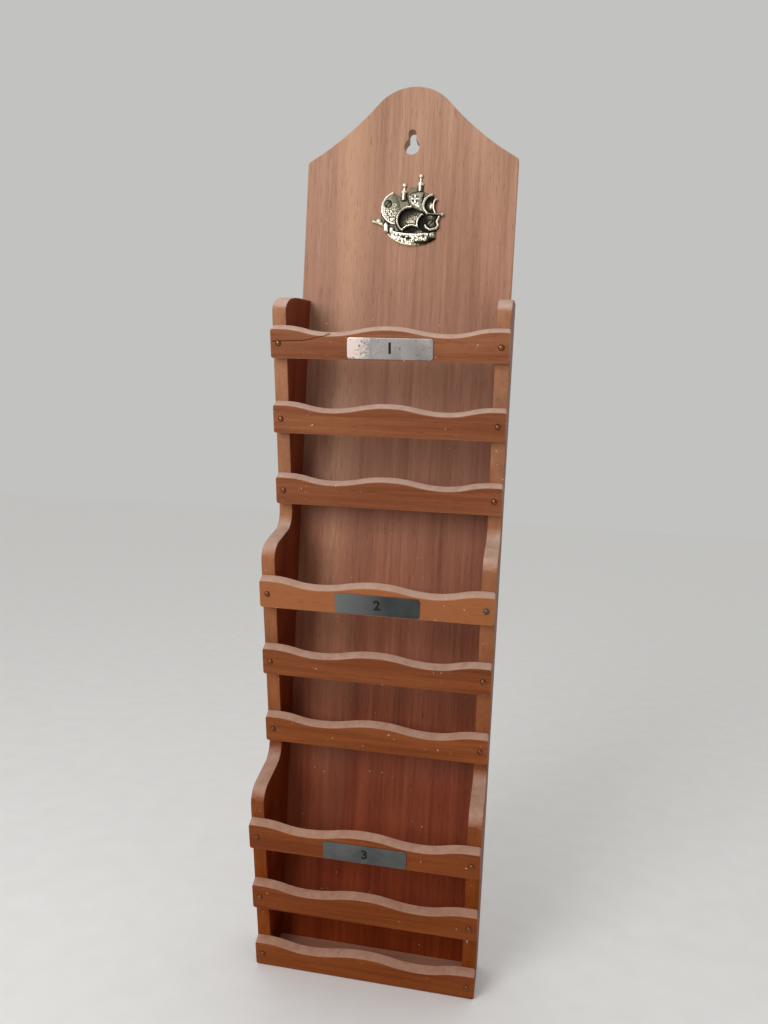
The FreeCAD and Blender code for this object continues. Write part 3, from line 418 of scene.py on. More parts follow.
def wood(name, grain, lit_top, shaded_foot, gloss, levels=SLAT_LEVELS, sheen_band=None, inner_shade=None):
    """Varnished wood: figure, streaks, fibres, open pores and rubbed arrises, under painted light and shade.
    """
    material, tree = new_material(name)
    layers = {layer: textured(tree, layer, grain) for layer in TONE_SHARES}
    tone = attribute(tree, "tone")
    for layer, share in TONE_SHARES.items():
        tone = maths("ADD", tone, times(layers[layer], share))
    place = parted(own_place(tree))
    normal = parted(node(tree, "NewGeometry").outputs["Normal"])
    # Painted light and shade by height: paler towards the top, darker towards the foot.
    height_share = between(place[2], *levels)
    colour = mixed(height_share, ramp(tone, shaded_foot, WOOD_STOPS), ramp(tone, lit_top, WOOD_STOPS))
    # A painted sheen: a pale band along the board's left, stronger towards the top, with flecks in it.
    if sheen_band:
        offset = maths("SUBTRACT", place[0], SHEEN_BAND_PLACE)
        offset = maths("ADD", offset, swung(layers["figure"], 2 * SHEEN_BAND_HALF))
        in_sheen_band = between(maths("ABSOLUTE", offset), SHEEN_BAND_HALF, 0.0)
        colour = mixed(times(times(in_sheen_band, height_share), SHEEN_BAND_STRENGTH), colour, sheen_band)
        flecks = between(textured(tree, "flecks", grain), *FLECK_RANGE)
        flecks = times(flecks, between(height_share, *FLECK_HEIGHTS))
        colour = mixed(times(flecks, in_sheen_band), colour, PALE_FLECK)
    pores = between(textured(tree, "pores", grain), *PORE_RANGE)
    colour = mixed(times(pores, PORE_STRENGTH), colour, PORE_DARKENING, "MULTIPLY")
    # Painted shade: the panels' inner faces darker.
    if inner_shade:
        turned = times(maths("SIGN", place[0]), normal[0])
        colour = mixed(between(turned, *INNER_SHADE_RANGE), colour, inner_shade, "MULTIPLY")
    rubbed = between(textured(tree, "rubbing"), *RUBBED_RANGE)
    worn = times(attribute(tree, "wear"), rubbed)
    colour = mixed(times(worn, times(height_share, UPRIGHT_STRENGTH)), colour, WORN_UPRIGHT)
    # Wear with a painted sheen on upward faces, paler towards the top.
    upward_wear_and_sheen = times(worn, between(normal[2], *UPWARD_RANGE))
    colour = mixed(upward_wear_and_sheen, colour, mixed(height_share, WEAR_AND_SHEEN_FOOT, WEAR_AND_SHEEN_TOP))
    colour = mixed(between(textured(tree, "specks"), *SPECK_RANGE), colour, PALE_SPECK)
    rough = between(layers["streaks"], *WOOD_ROUGHNESS)
    height = maths("SUBTRACT", times(layers["fibres"], FIBRE_DENTS), pores)
    return finished(material, colour, rough, 0.0, gloss, height, WOOD_DENTS)


def cast_metal():
    """Cast brass toned by a painted shade field: worn highs and painted highlights bright, hollows dark with
    painted shade.
    """
    material, tree = new_material("emblem_brass")
    grit = textured(tree, "grit")
    share = maths("ADD", attribute(tree, "shade"), swung(grit, GRIT_STRENGTH))
    colour = ramp(share, CASTING_TONES, CASTING_STOPS)
    rough = between(share, *CASTING_ROUGHNESS)
    return finished(material, colour, rough, CASTING_METALLIC, CASTING_GLOSS, grit, CASTING_DENTS)


def plain_metal(name, bright, dull, roughness):
    """Rubbed metal: patches of two tones, fine scratches and an uneven gloss."""
    material, tree = new_material(name)
    patches = textured(tree, "tarnish")
    colour = ramp(between(patches, *TARNISH_RANGE), (dull, bright), TARNISH_STOPS)
    rough = between(patches, *NOISE_RANGE, roughness + TARNISH_ROUGHER, roughness)
    scratches = times(textured(tree, "scratches", GRAIN_ACROSS), PIN_SCRATCHES)
    height = maths("ADD", scratches, patches)
    return finished(material, colour, rough, 1.0, PLAIN_GLOSS, height, PIN_DENTS)


def plate_metal(name, bright, dull, roughness, spot_level, sheen):
    """Thin sheet: a drift between two greys, fine scratches, dark spots, and where given a painted sheen."""
    material, tree = new_material(name)
    scratches = textured(tree, "scratches", GRAIN_ACROSS)
    pattern = textured(tree, "spots")
    colour = ramp(textured(tree, "drift"), (dull, bright), PLATE_STOPS)
    # A painted sheen: paler towards one end.
    if sheen:
        pale, full, gone, stray = sheen
        across = maths("ADD", parted(own_place(tree))[0], swung(pattern, stray))
        colour = mixed(between(across, gone, full), colour, pale)
    spots = between(pattern, spot_level, spot_level + SPOT_EDGE)
    colour = mixed(times(spots, SPOT_STRENGTH), colour, DARK_SPOT)
    rough = between(scratches, *NOISE_RANGE, roughness, roughness + SCRATCH_ROUGHER)
    rough = maths("ADD", rough, times(spots, SPOT_ROUGHER))
    height = maths("SUBTRACT", times(scratches, PLATE_SCRATCHES), spots)
    return finished(material, colour, rough, 1.0, PLAIN_GLOSS, height, PLATE_DENTS)


def ink():
    """Dark stamping ink, thin and uneven."""
    material, tree = new_material("numeral_ink")
    patches = textured(tree, "ink")
    colour = ramp(patches, INK_TONES, INK_STOPS)
    return finished(material, colour, between(patches, *INK_ROUGHNESS), gloss=INK_GLOSS)


class Plane:
    """A drawing plane: across, up and out along its normal."""

    def __init__(self, out):
        self.out = Vector(out).normalized()
        self.across = UP.cross(self.out).normalized()
        self.up = self.out.cross(self.across)

    def flat(self, point):
        """A point of the scene in the plane's measures."""
        return Vector((point.dot(self.across), point.dot(self.up), point.dot(self.out)))

    def solid(self, across, up, out):
        """A point in the plane's measures, back in the scene."""
        return self.across * across + self.up * up + self.out * out


def front_normal(name):
    """Normal of a node's largest front face."""
    faces = [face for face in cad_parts[name].data.polygons if face.normal.dot(FRONT) > FACING]
    return max(faces, key=lambda face: face.area).normal.copy()


def solid_mesh(name):
    """A node's mesh with its faces joined."""
    mesh = bmesh.new()
    mesh.from_mesh(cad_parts[name].data)
    bmesh.ops.remove_doubles(mesh, verts=mesh.verts[:], dist=MERGE)
    return mesh


def section(name, plane, place):
    """Closed 2-D outlines of a node where a plane cuts it, the longest first."""
    cut = solid_mesh(name)
    everything = cut.verts[:] + cut.edges[:] + cut.faces[:]
    made = bmesh.ops.bisect_plane(cut, geom=everything, plane_co=plane.out * place, plane_no=plane.out)
    links = {}
    for edge in made["geom_cut"]:
        if isinstance(edge, bmesh.types.BMEdge):
            for vertex in edge.verts:
                links.setdefault(vertex, []).append(edge.other_vert(vertex))
    loops = []
    while links:
        start = next(iter(links))
        loop, here = [], start
        while here in links:
            loop.append(plane.flat(here.co).to_2d())
            here = next((other for other in links.pop(here) if other in links), start)
        loops.append(loop)
    cut.free()
    return sorted(loops, key=perimeter, reverse=True)


def outlined(name, out):
    """A node's drawing plane, its low and high end along the normal, and its outlines half way."""
    plane = Plane(out)
    places = [vertex.co.dot(plane.out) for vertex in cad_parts[name].data.vertices]
    low, high = min(places), max(places)
    return plane, low, high, section(name, plane, (low + high) / 2)


def perimeter(loop):
    """Length of a closed outline."""
    return sum((b - a).length for a, b in zip(loop, loop[1:] + loop[:1]))


def signed_area(loop):
    """Area of an outline, below zero where it runs clockwise."""
    return sum(a.x * b.y - b.x * a.y for a, b in zip(loop, loop[1:] + loop[:1])) / 2


def resampled(loop):
    """An outline with its long edges divided, but not near corners."""
    points = []
    for a, b in zip(loop, loop[1:] + loop[:1]):
        points.append(a)
        length = (b - a).length
        free = length - 2 * CORNER_CLEAR
        if free > 0:
            count = math.ceil(free / SAMPLE_STEP)
            places = [CORNER_CLEAR + free * number / count for number in range(count + 1)]
            points += [a.lerp(b, place / length) for place in places]
    return points


def inward(loop):
    """The way into the material at each point, longer at corners."""
    ways = []
    for number, point in enumerate(loop):
        before, after = loop[number - 1], loop[(number + 1) % len(loop)]
        first = (point - before).normalized().orthogonal()
        second = (after - point).normalized().orthogonal()
        way = (first + second).normalized()
        ways.append(way / max(way.dot(first), MITRE_LIMIT))
    return ways


def rings(low, high, radius, margin, rounded, wall):
    """Inset, place and wear of each ring of a prism, from its low end to its high one."""
    def end(at, towards, is_round):
        """Rings from an end's face over its arris, or the wall's ring alone."""
        if not is_round:
            return [(0.0, at, wall)]
        made = [(radius + margin, at, 0.0)]
        for number in range(ARRIS_STEPS):
            share = number / (ARRIS_STEPS - 1)
            turn = math.pi / 2 * share
            inset, rise = radius * (1 - math.sin(turn)), radius * (1 - math.cos(turn))
            worn = FACE_WEAR * (1 - share) + wall * share + ARRIS_WEAR * math.sin(2 * turn)
            made.append((inset, at + towards * rise, min(worn, 1.0)))
        return made

    return end(low, 1, rounded[0]) + end(high, -1, rounded[1])[::-1]


def stitch(mesh, rows):
    """Adds the faces between rings of points."""
    for lower, upper in zip(rows, rows[1:]):
        for k in range(len(lower)):
            mesh.faces.new((lower[k - 1], lower[k], upper[k], upper[k - 1]))


def add_prism(mesh, plane, loops, low, high, radius, wall, margin=ARRIS_MARGIN, rounded=(True, True),
              bend=lambda *spot: spot):
    """Adds a prism with worn round arrises: its edge, then any holes."""
    wear = mesh.verts.layers.float.get("wear") or mesh.verts.layers.float.new("wear")
    caps = ([], [])
    for number, loop in enumerate(loops):
        hole = number > 0
        points = resampled(loop)
        if (signed_area(points) < 0) != hole:
            points.reverse()
        ways = inward(points)
        size = HOLE_ARRIS if hole else radius
        made = []
        for inset, out, worn in rings(low, high, size, size if hole else margin, rounded, wall):
            row = []
            for point, way in zip(points, ways):
                wander = 1 + ARRIS_WANDER * noise.noise(plane.solid(*point, out) * ARRIS_NOISE)
                spot = point + way * inset * wander
                vertex = mesh.verts.new(plane.solid(*bend(*spot, out)))
                vertex[wear] = worn
                row.append(vertex)
            made.append(row)
        stitch(mesh, made)
        caps[0].append(made[0])
        caps[1].append(made[-1])
    for side, rows in zip((-1, 1), caps):
        if len(rows) == 1:
            mesh.faces.new(rows[0] if side > 0 else rows[0][::-1])
            continue
        edges = [mesh.edges.get((row[k - 1], row[k])) for row in rows for k in range(len(row))]
        bmesh.ops.triangle_fill(mesh, use_beauty=True, use_dissolve=False, edges=edges,
                                normal=plane.out * side)


def placed(name, data):
    """A new object of the scene."""
    obj = bpy.data.objects.new(name, data)
    bpy.context.scene.collection.objects.link(obj)
    return obj


def taken(name, mesh):
    """Mesh data made from a bmesh, which is freed."""
    data = bpy.data.meshes.new(name)
    mesh.to_mesh(data)
    mesh.free()
    return data


def new_object(name, mesh, tone=0.0):
    """An object made from a bmesh, with one tone for its grain."""
    bmesh.ops.recalc_face_normals(mesh, faces=mesh.faces[:])
    data = taken(name, mesh)
    layer = data.attributes.new("tone", "FLOAT", "POINT")
    layer.data.foreach_set("value", np.full(len(data.vertices), tone, np.float32))
    return placed(name, data)


def evaluated(obj):
    """A mesh of an object's curves or modifiers."""
    bpy.context.view_layer.update()
    return bpy.data.meshes.new_from_object(obj.evaluated_get(bpy.context.evaluated_depsgraph_get()))


def ridden(obj, material):
    """Gives a piece its finish, and lets it ride on the one body."""
    obj.data.materials.append(material)
    obj.data.shade_smooth()
    obj.data.set_sharp_from_angle(angle=SMOOTH_ANGLE)
    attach(obj, "root")


def keep(name, mesh, material, tone=0.0, cutter=None):
    """Makes the piece that stands for a CAD node, less what a cutter takes."""
    obj = new_object(f"{name}_dressed", mesh, tone)
    if cutter:
        cut = obj.modifiers.new("split", "BOOLEAN")
        cut.operation, cut.solver, cut.object = "DIFFERENCE", "EXACT", cutter
        data = evaluated(obj)
        obj.modifiers.clear()
        obj.data = data
        bpy.data.objects.remove(cutter)
    ridden(obj, material)
    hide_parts(name)


def back_board(material):
    """The plank with its crown and keyhole. The nails' ends stand a hair proud of its back."""
    plane, low, high, (edge, keyhole, *_) = outlined("back_board", FRONT)
    mesh = bmesh.new()
    add_prism(mesh, plane, [edge, keyhole], low + NAIL_STAND, high, BOARD_ARRIS, BOARD_WALL_WEAR)
    keep("back_board", mesh, material)


def eased(loop, side):
    """A panel's outline with its top front corner worn to a longer curve."""
    top = max(point.y for point in loop)
    stretch = [point for point in loop if point.y > top - TOP_STRETCH]
    nose = min(stretch, key=lambda point: point.x * side).copy()
    points = resampled(loop)
    for point in points:
        if point.y > nose.y:
            share = (point.x - nose.x) * side / EASE_REACH
            point.y -= EASE_SAG * share * math.exp(1 - share)
    return points


def side_panel(name, side, tone, material):
    """A sawtooth panel: a lip that covers the board's edge, and the rest before the board."""
    plane, low, high, _ = outlined(name, RIGHT * side)
    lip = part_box("back_board")[1].x
    lip_loop = eased(section(name, plane, (lip + high) / 2)[0], side)
    inner_loop = eased(section(name, plane, low + INNER_SECTION)[0], side)
    mesh = bmesh.new()
    add_prism(mesh, plane, [lip_loop], lip, high, PANEL_ARRIS, PANEL_WALL_WEAR, rounded=(False, True))
    add_prism(mesh, plane, [inner_loop], low, lip, PANEL_ARRIS, PANEL_WALL_WEAR, rounded=(True, False))
    keep(name, mesh, material, tone)


def slat(name, tone, material):
    """A slat whose wavy upper edge falls towards the front."""
    plane, low, high, (loop, *_) = outlined(name, front_normal(name))
    corners = [plane.flat(vertex.co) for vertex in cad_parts[name].data.vertices]
    front_top = max(corner.y for corner in corners if corner.z > high - FACE_SLACK)
    back_top = max(corner.y for corner in corners if corner.z < low + FACE_SLACK)
    foot, top = min(point.y for point in loop), max(point.y for point in loop)

    def sloped(across, up, out):
        """The upper half grows towards the back."""
        share = min(1.0, 2 * (up - foot) / (top - foot)) * ((low + high) / 2 - out) / (high - low)
        return across, up + (back_top - front_top) * share, out

    mesh = bmesh.new()
    add_prism(mesh, plane, [loop], low, high, SLAT_ARRIS, SLAT_WALL_WEAR, bend=sloped)
    cutter = split_cutter(plane, loop, foot, top - foot, high) if name == SPLIT_SLAT else None
    keep(name, mesh, material, tone, cutter)


def split_cutter(plane, loop, foot, height, front):
    """A wedge for the split from the slat's left end up to its wavy edge."""
    half = max(point.x for point in loop)
    mesh, rows = bmesh.new(), []
    for number, (across, up) in enumerate(SPLIT_SHARES):
        width = SPLIT_WIDTH * (1 - SPLIT_TAPER * number / (len(SPLIT_SHARES) - 1)) / 2
        corners = ((0, -SPLIT_DEPTH), (-width, SPLIT_DEPTH), (width, SPLIT_DEPTH))
        rows.append([mesh.verts.new(plane.solid(across * half, foot + up * height + shift, front + out))
                     for shift, out in corners])
    stitch(mesh, rows)
    mesh.faces.new(rows[0])
    mesh.faces.new(rows[-1][::-1])
    return new_object("split_cutter", mesh)


def label_plate(name, is_folded, material):
    """A thin plate with rounded corners, one of them bent up where it is folded."""
    plane, low, high, (loop, *_) = outlined(name, front_normal(name))
    corner = Vector((max(point.x for point in loop), max(point.y for point in loop)))
    fold = CORNER_FOLD if is_folded else 0.0

    def folded_up(across, up, out):
        """Near its upper right corner the plate rises."""
        share = max(0.0, 1 - (Vector((across, up)) - corner).length / CORNER_REACH)
        return across, up, out + fold * share ** FOLD_CURVE

    mesh = bmesh.new()
    add_prism(mesh, plane, [loop], low, high, PLATE_ARRIS, 0.0, PLATE_MARGIN, bend=folded_up)
    keep(name, mesh, material)
    return plane, loop, high


def numeral(text, plane, loop, front, material):
    """A plain numeral, inked on the middle of a plate."""
    curve = bpy.data.curves.new(f"numeral_{text}_curve", "FONT")
    curve.body, curve.size, curve.extrude, curve.offset = text, NUMERAL_SIZE, NUMERAL_HEIGHT, NUMERAL_BOLD
    curve.align_x, curve.align_y = "CENTER", "CENTER"
    drawn = placed(f"numeral_{text}_curve", curve)
    data = evaluated(drawn)
    bpy.data.objects.remove(drawn)
    middle = sum(loop, Vector((0, 0))) / len(loop)
    turn = Matrix((plane.across, plane.up, plane.out)).transposed().to_4x4()
    data.transform(Matrix.Translation(plane.solid(*middle, front)) @ turn)
    data.materials.clear()
    ridden(placed(f"numeral_{text}", data), material)


def islands(name):
    """Points of each separate solid of a node."""
    mesh = solid_mesh(name)
    left, found = dict.fromkeys(mesh.verts), []
    while left:
        solid = [left.popitem()[0]]
        for vertex in solid:
            others = [edge.other_vert(vertex) for edge in vertex.link_edges]
            for other in others:
                if other in left:
                    del left[other]
                    solid.append(other)
        found.append([vertex.co.copy() for vertex in solid])
    mesh.free()
    return found


def heads(name, plane):
    """Middle, radius, foot and top of each head of a node."""
    for solid in islands(name):
        flat = np.array([plane.flat(point) for point in solid])
        low, high = flat.min(0), flat.max(0)
        middle, radius = (low + high)[:2] / 2, (high[0] - low[0]) / 2
        gaps = np.hypot(*(flat[:, :2] - middle).T)
        yield middle, radius, flat[gaps > RIM_SHARE * radius, 2].min(), high[2]


def circle(count):
    """Ways from a circle's middle to points around it."""
    angles = np.linspace(0, 2 * math.pi, count, endpoint=False)
    return np.stack([np.cos(angles), np.sin(angles)], 1)


def pins(name, material):
    """Domed heads, each where its CAD pin has its head."""
    plane = Plane(front_normal("upper_label_plate"))
    mesh = bmesh.new()
    for middle, radius, foot, top in heads(name, plane):
        rows = []
        for turn in np.arange(PIN_RINGS) * math.pi / 2 / PIN_RINGS:
            size, out = radius * math.cos(turn) ** DOME_ROUNDNESS, foot + (top - foot) * math.sin(turn)
            spots = middle + size * circle(PIN_SEGMENTS)
            rows.append([mesh.verts.new(plane.solid(*spot, out)) for spot in spots])
        stitch(mesh, rows)
        crown = mesh.verts.new(plane.solid(*middle, top))
        for k in range(PIN_SEGMENTS):
            mesh.faces.new((rows[-1][k - 1], rows[-1][k], crown))
        mesh.faces.new(rows[0][::-1])
    keep(name, mesh, material)


def emblem_screws(material):
    """Low slotted domes, each at its own CAD screw."""
    plane = Plane(FRONT)
    mesh = bmesh.new()
    shade = mesh.verts.layers.float.new("shade")
    slot_side = np.array((-math.sin(SCREW_TURN), math.cos(SCREW_TURN)))
    for middle, radius, foot, top in heads("emblem_screws", plane):
        rows = []
        for ring in range(SCREW_RINGS):
            share = 1 - ring / (SCREW_RINGS - 1 / 2)
            dome_top = foot + (top - foot) * math.sqrt(1 - share ** 2)
            row = []
            for spot in radius * share * circle(SCREW_SEGMENTS):
                sunk = abs(spot.dot(slot_side)) < SCREW_SLOT / 2
                out = max(foot, dome_top - SCREW_SLOT_DEPTH) if sunk else dome_top
                vertex = mesh.verts.new(plane.solid(*(middle + spot), out))
                vertex[shade] = SLOT_SHADE if sunk else HEAD_SHADE
                row.append(vertex)
            rows.append(row)
        stitch(mesh, rows)
        mesh.faces.new(rows[-1])
        mesh.faces.new(rows[0][::-1])
    keep("emblem_screws", mesh, material)


def arc_points(start, end, radius, side):
    """Points of a short arc, without its end."""
    chord = end - start
    length = np.linalg.norm(chord)
    left = np.array((-chord[1], chord[0])) / length
    centre = (start + end) / 2 + left * side * math.sqrt(max(radius ** 2 - (length / 2) ** 2, 0))
    first = math.atan2(*(start - centre)[::-1])
    sweep = (math.atan2(*(end - centre)[::-1]) - first) * side % (2 * math.pi) * side
    angles = first + sweep * np.arange(ARC_STEPS) / ARC_STEPS
    return centre + radius * np.stack([np.cos(angles), np.sin(angles)], 1)


def emblem_edges(shares):
    """Each edge of an emblem outline as points, with both its ends."""
    corners = [np.array(corner[:2]) for corner in shares]
    edges = []
    for corner, start, end in zip(shares, corners, corners[1:] + corners[:1]):
        points = arc_points(start, end, *corner[2:]) if len(corner) > 2 else start[None]
        edges.append(np.concatenate([points, end[None]]))
    return edges


def gap_to(line):
    """Distance of each grid point from a line of points."""
    nearest = np.full(ACROSS.shape, np.inf)
    for a, b in zip(line, line[1:]):
        way, right, high = b - a, ACROSS - a[0], UPWARD - a[1]
        share = np.clip((right * way[0] + high * way[1]) / way.dot(way), 0, 1)
        nearest = np.minimum(nearest, np.hypot(right - share * way[0], high - share * way[1]))
    return nearest


def gap_from(across, up):
    """Distance of each grid point from a spot."""
    return np.hypot(ACROSS - across, UPWARD - up)


def depth_in(edges):
    """How deep each grid point lies inside an outline, below zero outside."""
    inside = np.zeros(ACROSS.shape, bool)
    for a, b in [pair for edge in edges for pair in zip(edge, edge[1:])]:
        if a[1] != b[1]:
            crossing = a[0] + (UPWARD - a[1]) * (b[0] - a[0]) / (b[1] - a[1])
            inside ^= ((a[1] > UPWARD) != (b[1] > UPWARD)) & (ACROSS < crossing)
    gap = np.min([gap_to(edge) for edge in edges], 0)
    return np.where(inside, gap, -gap)


def dome(depth, flank):
    """A rounded flank: zero at the edge, one from its width inwards."""
    return np.sqrt(1 - (1 - np.clip(depth / flank, 0, 1)) ** 2)


def soft_bump(gap, width):
    """One at no gap, falling off over a width."""
    return np.exp(-(gap / width) ** 2)


def pebbles():
    """Rounded grains from zero to one, on a jittered grid."""
    chance = np.random.default_rng(GRAIN_SEED)
    jitter = chance.uniform(*GRAIN_STRAY, (GRAIN_CELLS, GRAIN_CELLS, 2))
    across, up = ACROSS / GRAIN_SHARE, UPWARD / GRAIN_SHARE
    column, row = np.floor(across).astype(int), np.floor(up).astype(int)
    nearest = np.full(ACROSS.shape, np.inf)
    for i in (-1, 0, 1):
        for j in (-1, 0, 1):
            spot = jitter[(column + i) % GRAIN_CELLS, (row + j) % GRAIN_CELLS]
            gap = np.hypot(across - column - i - spot[..., 0], up - row - j - spot[..., 1])
            nearest = np.minimum(nearest, gap)
    return np.clip(1 - nearest * GRAIN_STEEPNESS, 0, 1)


def spotted(shade, spots):
    """A brightness drawn towards the tones of soft oval spots, painted shade and highlights among them."""
    for across, up, half_across, half_up, tone in spots:
        gap = np.hypot((ACROSS - across) / half_across, (UPWARD - up) / half_up)
        shade = shade + (tone - shade) * soft_bump(gap ** 2, 1.0)
    return shade


def hollow_sail(name, rise, tone, grains):
    """Height and light of a sail seen from behind: a bowl darkened by painted shade, with lit bellies."""
    top, shade = rise * EMBLEM_RELIEF * (1 - HOLLOW_SHARES[name]), tone
    for *spot, radius, swell, light in BELLY_SHARES[name]:
        belly = soft_bump(gap_from(*spot), radius)
        top = top + belly * (np.maximum(swell * EMBLEM_RELIEF - top, 0) + grains * GRAIN_HEIGHT)
        shade = shade + belly * (light - shade) * (BELLY_DIM_SHARE + grains)
    return top, shade


def solid_form(name, rise, flank, tone, rough, depth, grains):
    """Height and light of a form with rounded flanks and grains."""
    top = rise * EMBLEM_RELIEF * (FORM_EDGE_SHARE + (1 - FORM_EDGE_SHARE) * dome(depth, flank))
    if name == "foresail":
        level, fade = FORESAIL_GRAIN_SHARES
        below = np.clip((level - UPWARD) / fade, 0, 1)
        rough = rough * (below * below * (3 - 2 * below))
        start, growth, width, light = SPIRAL_SHARES
        for *spot, radius in SCROLL_SHARES:
            turn = np.arctan2(UPWARD - spot[1], ACROSS - spot[0]) / (2 * math.pi)
            curl = soft_bump(gap_from(*spot) - radius * (start + growth * turn), width)
            top, tone = top + curl * GRAIN_HEIGHT, tone + light * curl
    top = top + (grains - GRAIN_MEAN_SHARE) * GRAIN_HEIGHT * rough
    return top, tone + (grains - GRAIN_LIGHT_SHARE) * rough


def emblem_field():
    """Height of the casting over its back, zero outside it, and its light."""
    edges = {name: emblem_edges(shares) for name, shares in EMBLEM_SHARES.items()}
    grains = pebbles()
    height = EMBLEM_PLATE * dome(depth_in(edges["plate"]), PLATE_FLANK_SHARE)
    shade = spotted(WEB_SHARE, WEB_SPOT_SHARES)
    for name, (rise, flank, tone, rough) in FORM_SHARES.items():
        depth = depth_in(edges[name])
        if name in HOLLOW_SHARES:
            top, light = hollow_sail(name, rise, tone, grains)
        else:
            top, light = solid_form(name, rise, flank, tone, rough, depth, grains)
        ridges, ridge_tone = RIDGE_SHARES.get(name, ((), 0))
        for number in ridges:
            width = RIDGE_WIDTH_SHARE
            if name == "foresail":
                place, length, swell = FORESAIL_SWELL_SHARES
                width = width * (1 + swell * soft_bump(UPWARD - place, length))
            ridge = soft_bump((gap_to(edges[name][number]) - RIDGE_INSET_SHARE).clip(0), width)
            top = np.maximum(top, ridge * rise * EMBLEM_RELIEF)
            light = light + (ridge_tone - light) * ridge
        covers = (depth > 0) & ((top > height) | (name in HOLLOW_SHARES))
        height, shade = np.where(covers, top, height), np.where(covers, light, shade)
    return with_trim(height, spotted(shade, SPOT_SHARES))


def with_trim(height, shade):
    """Adds raised lines, mast heads, knobs, the cross and the screws' seats, then painted shade in crevices.
    """
    def laid(where, top, light):
        """Lays a form over the field where it stands higher."""
        higher = where & (top > height)
        return np.where(higher, top, height), np.where(higher, light, shade)

    for half, rise, tone, points in LINE_SHARES:
        fall = (gap_to(np.array(points)) / half) ** 2
        top = rise * EMBLEM_RELIEF * (1 - LINE_FALL_SHARE * fall)
        height, shade = laid(fall < 1, top, tone - LINE_DIM_SHARE * fall)
    strip_place, strip_width, strip_light, side_dim = MAST_STRIP_SHARES
    for foot_across, foot_up, barrel_top, nest_top, pole_top in MAST_SHARES:
        spans = ((barrel_top, pole_top), (0.0, barrel_top), (barrel_top, nest_top))
        for (half, tone), (low, high) in zip(MAST_PART_SHARES, spans):
            side = (ACROSS - foot_across) / half
            within = (np.abs(side) < 1) & (UPWARD > foot_up + low) & (UPWARD < foot_up + high)
            top = dome(1 - np.abs(side), 1.0) * half * MAST_ROUNDNESS * EMBLEM_WIDTH
            light = tone + strip_light * soft_bump(side - strip_place, strip_width) - side_dim * side ** 4
            height, shade = laid(within, top, light)
    rim, knob_light, rim_dim = KNOB_RIM_SHARES
    for *spot, radius, rise in KNOB_SHARES:
        gap = gap_from(*spot) / radius
        top = rise * EMBLEM_RELIEF * (rim + (1 - rim) * dome(1 - gap, 1.0))
        height, shade = laid(gap < 1, top, knob_light - rim_dim * gap ** 3)
    across, up, arm, half = CROSS_SHARES
    disc = soft_bump(gap_from(across, up), arm) > DISC_SHARE
    shade = np.where(disc, shade - DISC_DIM_SHARE, shade)
    right, high = np.abs(ACROSS - across), np.abs(UPWARD - up)
    for along, beside in ((right, high), (high, right)):
        bar = (along < arm) & (beside < half * (CROSS_FOOT_SHARE + along / arm))
        height, shade = np.where(bar, height + GRAIN_HEIGHT, height), np.where(bar, CROSS_LIGHT_SHARE, shade)
    for spot in SCREW_SHARES:
        seat = gap_from(*spot) < SEAT_SHARE
        height, shade = np.where(seat, EMBLEM_PLATE, height), np.where(seat, SEAT_LIGHT_SHARE, shade)
    # Painted shade: darker where the field lies below its blurred surroundings.
    crevice_shade = ((blurred(height, CREVICE_CELLS) - height) / CREVICE_DEPTH).clip(0, 1)
    height = np.where(height > 0, blurred(height, 1), 0)
    return height, (shade - CREVICE_SHADE_SHARE * crevice_shade).clip(0, 1)


def blurred(field, cells):
    """Mean of a field over some cells to each side."""
    window = 2 * cells + 1
    for axis in (0, 1):
        border = [(0, 0), (0, 0)]
        border[axis] = (cells + 1, cells)
        sums = np.cumsum(np.pad(field, border, mode="edge"), axis)
        first = np.arange(field.shape[axis])
        field = (np.take(sums, first + window, axis) - np.take(sums, first, axis)) / window
    return field


def ship_emblem(material):
    """The cast ship: a closed relief on the board's front."""
    height, shade = emblem_field()
    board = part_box("back_board")[0].y
    mesh = bmesh.new()
    layer = mesh.verts.layers.float.new("shade")
    front, back = {}, {}
    for spot in zip(*np.nonzero(height > 0)):
        across, up = ACROSS[spot] * EMBLEM_WIDTH, UPWARD[spot] * EMBLEM_WIDTH - EMBLEM_DROP
        for store, out in ((front, height[spot]), (back, 0.0)):
            store[spot] = mesh.verts.new((across, board - out, up))
            store[spot][layer] = shade[spot]
    for row, column in front:
        corners = [(row, column), (row, column + 1), (row + 1, column + 1), (row + 1, column)]
        if all(corner in front for corner in corners):
            mesh.faces.new([front[corner] for corner in corners])
            mesh.faces.new([back[corner] for corner in corners[::-1]])
    pair = {front[spot]: back[spot] for spot in front}
    for first, second in [edge.verts for edge in mesh.edges if edge.is_boundary]:
        if first in pair and second in pair:
            mesh.faces.new((first, second, pair[second], pair[first]))
    loose = [vertex for vertex in mesh.verts if not vertex.link_faces]
    bmesh.ops.delete(mesh, geom=loose, context="VERTS")
    keep("ship_emblem", mesh, material)


def carried_over(name, material):
    """Keeps a CAD node, with a finish and softened edges."""
    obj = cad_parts[name]
    obj.data.materials.clear()
    obj.data.materials.append(material)
    soft = obj.modifiers.new("soft_edges", "BEVEL")
    soft.width, soft.segments, soft.limit_method = SOFT_WIDTH, SOFT_SEGMENTS, "ANGLE"


